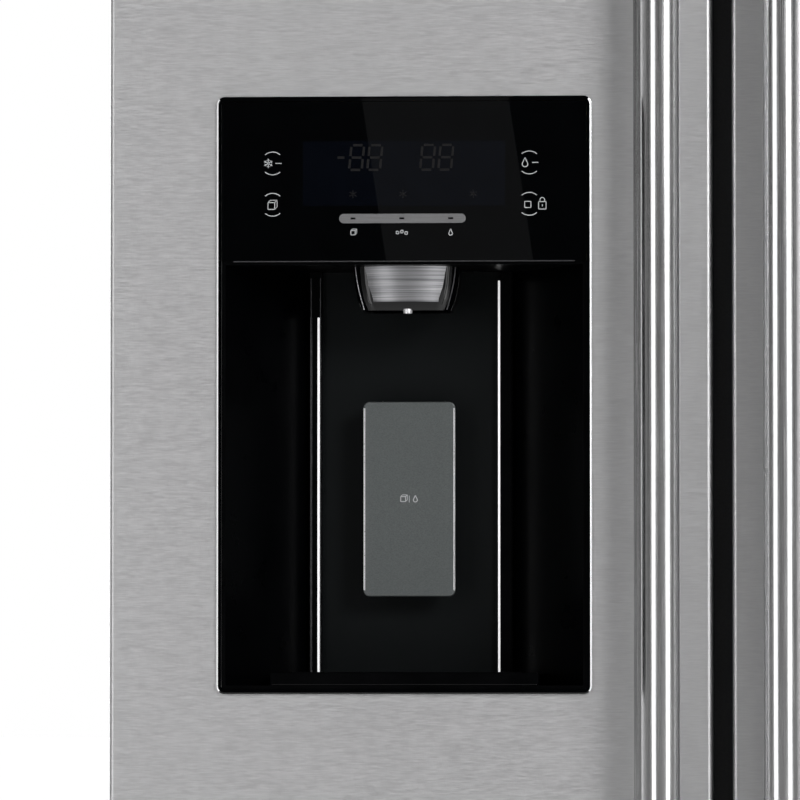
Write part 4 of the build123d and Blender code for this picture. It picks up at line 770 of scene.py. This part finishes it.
spout_low, spout_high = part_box("dispenser_spout")
spout_middle = (spout_low + spout_high) / 2
spout_height = spout_high.z - spout_low.z
spout_steel = finish(
    "spout_steel", (0.15, 0.15, 0.16), (0.40, 0.40, 0.41), (0.30, 0.42), (16, 16, 1700), 3,
    metallic=1.0, ends=(0.35, 0.68),
)
shroud_bm = bmesh.new()
shroud_levels = (
    (0.0, 0.0349, 0.0258, 0.012), (0.4, 0.0342, 0.0252, 0.012),
    (0.75, 0.0322, 0.0238, 0.011), (1.0, 0.0292, 0.0220, 0.010),
)
shroud_wall = 0.0018
shroud_middle = spout_middle + Vector((0, 0.0032, 0))
rings = [
    shroud_ring(shroud_bm, width, depth, corner, shroud_middle, spout_high.z - drop * spout_height)
    for drop, width, depth, corner in shroud_levels
]
for upper, lower in zip(rings, rings[1:]):
    bmesh.ops.bridge_loops(shroud_bm, edges=upper + lower)
bmesh.ops.recalc_face_normals(shroud_bm, faces=shroud_bm.faces[:])
bmesh.ops.solidify(shroud_bm, geom=shroud_bm.faces[:], thickness=shroud_wall)
shroud = piece(shroud_bm, "spout_shroud", "freezer_door", gloss_black, 50)
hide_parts("dispenser_spout")

shield_bm = bmesh.new()
shield_radius = 0.060
shield_half_angle = math.asin(0.0265 / shield_radius)
shield_wall = 0.0008
shield_taper = 0.84
shield_lean = 0.0045
shield_centre = Vector((spout_middle.x, spout_low.y - 0.0012 + shield_radius, 0))
start_x = shield_centre.x - shield_radius * math.sin(shield_half_angle)
start_y = shield_centre.y - shield_radius * math.cos(shield_half_angle)
shield_bottom = spout_low.z + spout_height * 0.19
edge = shield_bm.edges.new((
    shield_bm.verts.new((start_x, start_y, shield_bottom)),
    shield_bm.verts.new((start_x, start_y, spout_high.z)),
))
bmesh.ops.spin(
    shield_bm, geom=[edge, *edge.verts], cent=shield_centre, axis=(0, 0, 1),
    angle=2 * shield_half_angle, steps=24,
)
for vert in shield_bm.verts:
    if vert.co.z < spout_high.z - 0.001:
        vert.co.x = spout_middle.x + (vert.co.x - spout_middle.x) * shield_taper
        vert.co.y += shield_lean
bmesh.ops.recalc_face_normals(shield_bm, faces=shield_bm.faces[:])
bmesh.ops.solidify(shield_bm, geom=shield_bm.faces[:], thickness=shield_wall)
piece(shield_bm, "spout_shield", "freezer_door", spout_steel)

# Painted highlight: the tubes stand in for light on the shroud's edges, the right one darker as painted
# shade.
for side, sign, made in (("left", -1, spout_steel), ("right", 1, edge_metal)):
    edge_highlight_points = [
        (
            spout_middle.x + sign * (0.0326 - 0.0058 * level ** 1.6),
            spout_low.y + 0.0030 + 0.0012 * level,
            spout_high.z - level * spout_height,
        )
        for level in (0.02, 0.30, 0.60, 0.85, 1.0)
    ]
    bent_tube("spout_edge_highlight_" + side, edge_highlight_points, 0.0004, "freezer_door", made)

nozzle_bm = bmesh.new()
nozzle_front = spout_low.y + 0.012
bmesh.ops.create_cone(
    nozzle_bm, cap_ends=True, segments=32, radius1=0.0029, radius2=0.0033, depth=0.003,
    matrix=Matrix.Translation((spout_middle.x + 0.0010, nozzle_front, spout_low.z - 0.0005)),
)
soften(nozzle_bm, 0.0006)
# The nozzle's near white is partly its own colour and partly a painted glint.
nozzle_white = finish("water_nozzle", (0.80, 0.80, 0.81), (0.88, 0.88, 0.89), 0.35, 500, metallic=0.6)
piece(nozzle_bm, "water_nozzle", "freezer_door", nozzle_white)


# Two bright satin strips run down the recess's ribs, with thin metal edges beside the left one.
# The strips' glow is painted light, an emitted highlight where the ribs' edges catch the lamps,
# and the left strip stopping short under the recess's top is painted shade.
# The drip tray has a black front edge and a grille of flat bars.
tray_low, tray_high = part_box("drip_tray")
# Painted light: the emission makes the strips glow as a highlight; they are no lamps.
strip_painted_glow = finish(
    "recess_strip", (0.86, 0.86, 0.87), (0.93, 0.93, 0.94), 0.42, (1800, 1800, 20), metallic=0.2,
    sockets={"Emission Color": (1, 1, 1, 1), "Emission Strength": 0.55},
)
recess_ceiling = spout_high.z
rib_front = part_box("dispenser_back_plate")[1].y - 0.0080
rib_foot = tray_high.z + 0.0005


def rib_span(left, right, out, top):
    return (
        (panel_middle + left, rib_front - out, rib_foot),
        (panel_middle + right, rib_front, recess_ceiling - top),
    )


# The left strip ends 30 mm below the ceiling as painted shade under the recess's top.
for side, left, top in (("left", -0.0613, 0.0300), ("right", 0.0575, 0.0060)):
    blocks(
        "recess_strip_" + side, "freezer_door", strip_painted_glow,
        [rib_span(left, left + 0.0014, 0.0010, top)], 0.0003,
    )
rib_edges = ((-0.0661, -0.0649, 0.0300), (-0.0658, -0.0652, 0.0040), (-0.0597, -0.0591, 0.0040))
blocks(
    "recess_rib_edge", "freezer_door", edge_metal,
    [rib_span(left, right, 0.0006, top) for left, right, top in rib_edges], 0.0002,
)

bar_count = 11
bar_width = 0.0022
bar_margin = 0.008
tray_taper = 0.36
tray_depth = tray_high.y - tray_low.y
bar_spans = []
for row in range(bar_count):
    bar_y = tray_low.y + bar_margin + row * (tray_depth - 2 * bar_margin) / (bar_count - 1)
    share = (bar_y - tray_low.y) / tray_depth
    half = (tray_high.x - tray_low.x) / 2 * (1 - tray_taper * share) - bar_margin
    bar_spans.append((
        (panel_middle - half, bar_y - bar_width / 2, tray_high.z - 0.0006),
        (panel_middle + half, bar_y + bar_width / 2, tray_high.z + 0.0008),
    ))
blocks("drip_grille", "freezer_door", recess_black, bar_spans, 0.0003)
tray_edge_span = (
    (tray_low.x + 0.0010, tray_low.y - 0.0006, tray_low.z + 0.0002),
    (tray_high.x - 0.0010, tray_low.y, tray_low.z + 0.0009),
)
blocks("drip_tray_edge", "freezer_door", gloss_black, [tray_edge_span], 0.0002)

board_green = finish("green_board", (0.012, 0.11, 0.04), (0.03, 0.20, 0.08), (0.3, 0.5), 400, 4)
coat_nodes(board_green, "control_board")


# The fridge's glass shelves are set in white frames: a rounded bar in front, a raised stop at
# the back, and a ledge on each wall of the liner under them.
def levels_of(node):
    return sorted({round(vert.co.z, 4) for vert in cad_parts[node].data.vertices})


def ledges(low, high, tops, width, front, back, under, over):
    return [
        ((left, low.y + front, top - under), (left + width, high.y - back, top - over))
        for top in tops
        for left in (low.x, high.x - width)
    ]


glass_shelf_low, glass_shelf_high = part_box("fridge_shelves")
glass_tops = levels_of("fridge_shelves")[1::2]
glass_left = glass_shelf_low.x + 0.001
glass_right = glass_shelf_high.x - 0.001
glass_bars = (
    ("glass_shelf_fronts", glass_shelf_low.y - 0.004, 0.016, -0.014, 0.003, 0.0035, 3),
    ("glass_shelf_stops", glass_shelf_high.y - 0.010, 0.009, -0.009, 0.009, 0.0025, 2),
)
for name, near, depth, under, over, edge, steps in glass_bars:
    bars = [
        ((glass_left, near, top + under), (glass_right, near + depth, top + over))
        for top in glass_tops
    ]
    blocks(name, "root", white_plastic, bars, edge, steps)
glass_ledges = ledges(
    glass_shelf_low, glass_shelf_high, glass_tops, 0.012, 0.014, 0.012, 0.012, 0.0042
)
blocks("glass_shelf_ledges", "root", liner_plastic, glass_ledges, 0.0020)


# The freezer's shelves have a clipped-on front bar of grey plastic and the same ledges in the
# liner's walls.
shelf_low, shelf_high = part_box("freezer_shelves")
shelf_tops = levels_of("freezer_shelves")[2::3]
front_spans = [
    (
        (shelf_low.x + 0.002, shelf_low.y - 0.003, top - 0.013),
        (shelf_high.x - 0.002, shelf_low.y, top - 0.001),
    )
    for top in shelf_tops
]
blocks("freezer_shelf_fronts", "root", grey_plastic, front_spans, 0.0014)
shelf_ledges = ledges(shelf_low, shelf_high, shelf_tops, 0.010, 0.006, 0.006, 0.013, 0.0052)
blocks("freezer_shelf_ledges", "root", liner_plastic, shelf_ledges, 0.0020)


# Each door bin has a white band along the top of its front, with a shallow dish in its middle
# where a hand takes hold.
for side in ("freezer", "fridge"):
    bins_low, bins_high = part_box(side + "_door_bins")
    band_bm = bmesh.new()
    for top in levels_of(side + "_door_bins")[2::3]:
        band = slab(
            band_bm,
            (bins_low.x + 0.0015, bins_high.y - 0.0010, top - 0.026),
            (bins_high.x - 0.0015, bins_high.y + 0.0018, top + 0.0010),
        )
        rims = {f for v in band for f in v.link_faces}
        band_bm.normal_update()
        outer = next(f for f in rims if f.normal.y > 0.99)
        bmesh.ops.inset_region(band_bm, faces=[outer], thickness=0.006, depth=-0.0010)
    soften(band_bm, 0.0006)
    piece(band_bm, side + "_bin_bands", side + "_door", white_plastic)


# The drawers pull out by a grip moulded along the top of their fronts, a white bar with a
# finger hollow in its face.
drawers = [(kind, level) for kind in ("freezer_drawer", "crisper") for level in ("lower", "upper")]
grip_inset = 0.012
grip_height = 0.034
grip_rim = 0.006
grip_hollow = 0.0040
for kind, level in drawers:
    drawer_low, drawer_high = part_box(f"{kind}_{level}")
    grip_bm = bmesh.new()
    slab(
        grip_bm,
        (drawer_low.x + grip_inset, drawer_low.y - 0.0030, drawer_high.z - grip_height),
        (drawer_high.x - grip_inset, drawer_low.y + 0.0048, drawer_high.z - 0.0010),
    )
    face = facing_front(grip_bm)
    bmesh.ops.inset_region(grip_bm, faces=[face], thickness=grip_rim, depth=-grip_hollow)
    soften(grip_bm, 0.0012)
    piece(grip_bm, f"{kind}_{level}_grip", f"{level}_{kind}", white_plastic)


# Cold air comes out through louvred slots in the fridge's duct and through a round opening in
# the freezer's back cover, which has a raised rim. Nine screws hold the cover.
def raised_ring(bm, centre, radius, width, depth, steps=48):
    made = patch(bm, width, depth, Vector(centre) + Vector((radius, 0, 0)))
    section = list({f for v in made for f in v.link_faces})
    bmesh.ops.spin(
        bm, geom=section, cent=centre, axis=(0, 1, 0), angle=2 * math.pi, steps=steps,
        use_merge=True,
    )


def screw(bm, place, way, radius):
    lie = Matrix.Translation(place) @ Vector(way).to_track_quat("Z", "Y").to_matrix().to_4x4()
    made = bmesh.ops.create_cone(
        bm, cap_ends=True, segments=24, radius1=radius, radius2=radius * 0.82,
        depth=radius * 0.5, matrix=lie,
    )["verts"]
    bm.normal_update()
    head = max(
        {f for v in made for f in v.link_faces if len(f.verts) > 4},
        key=lambda f: f.calc_center_median().dot(Vector(way)),
    )
    bmesh.ops.inset_region(bm, faces=[head], thickness=radius * 0.22, depth=-radius * 0.14)


duct_low, duct_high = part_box("fridge_air_duct")
slot_rise = 0.120
slot_height = 0.012
slot_inset = 0.030
louvre_half = 0.0006
louvre_levels = [
    top + slot_rise + slot_height * share for top in glass_tops for share in (0.33, 0.67)
]
louvre_spans = [
    (
        (duct_low.x + slot_inset, duct_low.y + 0.0002, level - louvre_half),
        (duct_high.x - slot_inset, duct_low.y + 0.0100, level + louvre_half),
    )
    for level in louvre_levels if level < duct_high.z
]
blocks("air_duct_louvres", "root", white_plastic, louvre_spans, 0.0002)

cover_low, cover_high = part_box("evaporator_cover")
fan_low, fan_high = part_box("evaporator_fan")
fan_centre = (fan_low + fan_high) / 2
grille_bm = bmesh.new()
for radius in (0.054, 0.0575):
    raised_ring(grille_bm, (fan_centre.x, cover_low.y, fan_centre.z), radius, 0.0018, 0.0030)
for across in (0.03, 0.5, 0.97):
    for up in (0.10, 0.55, 0.96):
        place = (
            cover_low.x + (cover_high.x - cover_low.x) * (0.06 + across * 0.88),
            cover_low.y - 0.0008,
            cover_low.z + (cover_high.z - cover_low.z) * up,
        )
        screw(grille_bm, place, (0, -1, 0), 0.0048)
piece(grille_bm, "evaporator_cover_rim", "root", white_plastic)


# The lamp lenses are ribbed inside out, so that the light spreads. The ice maker has a wire arm
# that feels how full the bucket is, and a switch box at its front.
lens_low, lens_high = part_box("lamp_lenses")
lens_length = 0.120
lens_margin = 0.008
rib_count = 15
rib_pitch = (lens_length - 2 * lens_margin) / (rib_count - 1)
rib_half = 0.0014
rib_places = [
    left + lens_margin + rib * rib_pitch
    for left in (lens_low.x, lens_high.x - lens_length)
    for rib in range(rib_count)
]
rib_spans = [
    (
        (rib_x - rib_half, lens_low.y + 0.004, lens_low.z - 0.0010),
        (rib_x + rib_half, lens_high.y - 0.004, lens_low.z),
    )
    for rib_x in rib_places
]
lens_glow = finish("lens_plastic", (0.84, 0.86, 0.88), (0.92, 0.94, 0.96), 0.25, 900)
coat_nodes(lens_glow, "lamp_lenses")
blocks("lamp_lens_ribs", "root", lens_glow, rib_spans, 0.0004)

maker_low, maker_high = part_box("ice_maker")
switch_box_span = (
    (maker_low.x + 0.020, maker_low.y - 0.004, maker_low.z + 0.020),
    (maker_high.x - 0.020, maker_low.y + 0.001, maker_high.z - 0.012),
)
switch_span = (
    (maker_high.x - 0.050, maker_low.y - 0.0075, maker_low.z + 0.052),
    (maker_high.x - 0.036, maker_low.y - 0.003, maker_low.z + 0.064),
)
blocks(
    "ice_maker_switch_box", "root", grey_plastic, [switch_box_span, switch_span],
    0.0015,
)

arm_bends = (
    (0.0, maker_low.y + 0.020, 0.040), (0.008, maker_low.y + 0.020, 0.038),
    (0.008, maker_low.y + 0.024, -0.035), (0.008, maker_low.y + 0.050, -0.045),
    (0.008, maker_high.y - 0.060, -0.045), (0.008, maker_high.y - 0.030, -0.035),
    (0.008, maker_high.y - 0.026, 0.038), (0.0, maker_high.y - 0.026, 0.040),
)
arm_points = [(maker_high.x + out, along, maker_low.z + up) for out, along, up in arm_bends]
bent_tube("ice_level_arm", arm_points, 0.0015, "root", hinge_plate)


# Pressed beads stiffen the back panel, and round-headed screws hold it and the machine room's
# cover at their edges.
back_low, back_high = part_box("back_panel")
machine_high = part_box("machine_room_cover")[1]
back_size = back_high - back_low
bead_half = 0.012
bead_end = 0.12
bead_spans = []
for share in (0.25, 0.5, 0.75):
    bead_x = back_low.x + back_size.x * share
    bead_spans.append((
        (bead_x - bead_half, back_high.y - 0.0004, back_low.z + bead_end),
        (bead_x + bead_half, back_high.y + 0.0022, back_high.z - bead_end),
    ))
blocks("back_panel_beads", "root", zinc, bead_spans, 0.0020, 3)
screw_inset = 0.012
screw_out = 0.0009
screw_places = []
for share in (0.02, 0.26, 0.5, 0.74, 0.98):
    screw_x = back_low.x + back_size.x * (0.012 + share * 0.976)
    screw_places += [
        (screw_x, back_high.y, back_high.z - screw_inset),
        (screw_x, back_high.y, back_low.z + screw_inset),
        (screw_x, machine_high.y, machine_high.z - 0.008),
    ]
for level in (0.25, 0.5, 0.75):
    screw_z = back_low.z + back_size.z * level
    for screw_x in (back_low.x + screw_inset, back_high.x - screw_inset):
        screw_places.append((screw_x, back_high.y, screw_z))
back_screw_bm = bmesh.new()
for place in screw_places:
    screw(back_screw_bm, Vector(place) + Vector((0, screw_out, 0)), (0, 1, 0), 0.0045)
piece(back_screw_bm, "back_screws", "root", hinge_plate)


# In the machine room the condenser's tubes are joined by return bends outside its end plates,
# and the compressor has a terminal cover and copper pipes.
def return_bend(bm, start, end, outward, radius):
    middle = (Vector(start) + Vector(end)) / 2
    made = bmesh.ops.create_circle(bm, segments=10, radius=radius, cap_ends=False)["verts"]
    lie = Vector((outward, 0, 0)).to_track_quat("Z", "Y").to_matrix().to_4x4()
    bmesh.ops.transform(bm, matrix=Matrix.Translation(start) @ lie, verts=made)
    ring = list({e for v in made for e in v.link_edges})
    turn = -math.pi if outward > 0 else math.pi
    bmesh.ops.spin(bm, geom=ring, cent=middle, axis=(0, 1, 0), angle=turn, steps=10)


pan_low, pan_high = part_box("drain_pan")
coil_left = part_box("condenser")[0].x
coil_right = pan_high.x + 0.004
coil_rows = 6
coil_columns = 4
coil_bottom = 0.060
coil_height = 0.150
bend_bm = bmesh.new()
for column in range(coil_columns):
    tube_y = pan_low.y + (pan_high.y - pan_low.y) * (column + 0.5) / coil_columns
    for row in range(coil_rows - 1):
        tube_z = coil_bottom + coil_height * (row + 0.5) / coil_rows
        next_z = tube_z + coil_height / coil_rows
        side_x, outward = ((coil_left, -1), (coil_right, 1))[row % 2]
        return_bend(bend_bm, (side_x, tube_y, tube_z), (side_x, tube_y, next_z), outward, 0.004)
piece(bend_bm, "condenser_bends", "root", pot_enamel)

pot_low, pot_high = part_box("compressor")
pot_middle = (pot_low + pot_high) / 2
terminal_span = (
    (pot_middle.x - 0.030, pot_middle.y - 0.082, pot_middle.z - 0.020),
    (pot_middle.x + 0.030, pot_middle.y - 0.060, pot_middle.z + 0.036),
)
blocks(
    "compressor_terminal_cover", "root", grey_plastic, [terminal_span], 0.004, 3
)
copper = finish(
    "copper_pipe", (0.58, 0.30, 0.18), (0.80, 0.47, 0.31), (0.24, 0.42), 120, 4, metallic=1.0,
)
for number, (side, rise) in enumerate(((0.066, 0.030), (0.066, 0.052), (-0.066, 0.040))):
    out = math.copysign(0.030, side)
    pipe_points = (
        (pot_middle.x + side, pot_middle.y, pot_middle.z + rise - 0.02),
        (pot_middle.x + side + out, pot_middle.y, pot_middle.z + rise - 0.02),
        (pot_middle.x + side + out, pot_middle.y + 0.004, pot_high.z - 0.006),
        (pot_middle.x + side + out * 0.6, pot_middle.y - 0.05, pot_high.z + 0.008 + number * 0.004),
        (pot_middle.x + side * 0.2, pot_middle.y - 0.075, pot_high.z + 0.012 + number * 0.004),
    )
    bent_tube(f"compressor_pipe_{number}", pipe_points, 0.0032, "root", copper)


# The feet are turned by hand, so their discs have upright ribs. The hinge covers have a plugged
# screw on top.
for side in ("left", "right"):
    foot_low, foot_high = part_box("foot_" + side)
    foot_middle = (foot_low + foot_high) / 2
    disc_radius = (foot_high.x - foot_low.x) / 2
    ribs_bm = bmesh.new()
    for rib in range(24):
        made = slab(
            ribs_bm,
            (foot_middle.x + disc_radius - 0.0006, foot_middle.y - 0.0011, foot_low.z + 0.0062),
            (foot_middle.x + disc_radius + 0.0007, foot_middle.y + 0.0011, foot_low.z + 0.0138),
        )
        turn = Matrix.Rotation(rib * math.pi / 12, 3, "Z")
        bmesh.ops.rotate(ribs_bm, cent=foot_middle, matrix=turn, verts=made)
    soften(ribs_bm, 0.0004, segments=1)
    piece(ribs_bm, "foot_ribs_" + side, side + "_foot", foot_plastic)

lid_low, lid_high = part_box("hinge_covers")
plug_bm = bmesh.new()
for plug_x in (lid_low.x + 0.045, lid_high.x - 0.045):
    screw(plug_bm, (plug_x, lid_high.y - 0.030, lid_high.z + 0.0010), (0, 0, 1), 0.0060)
piece(plug_bm, "hinge_cover_plugs", "root", grey_plastic)
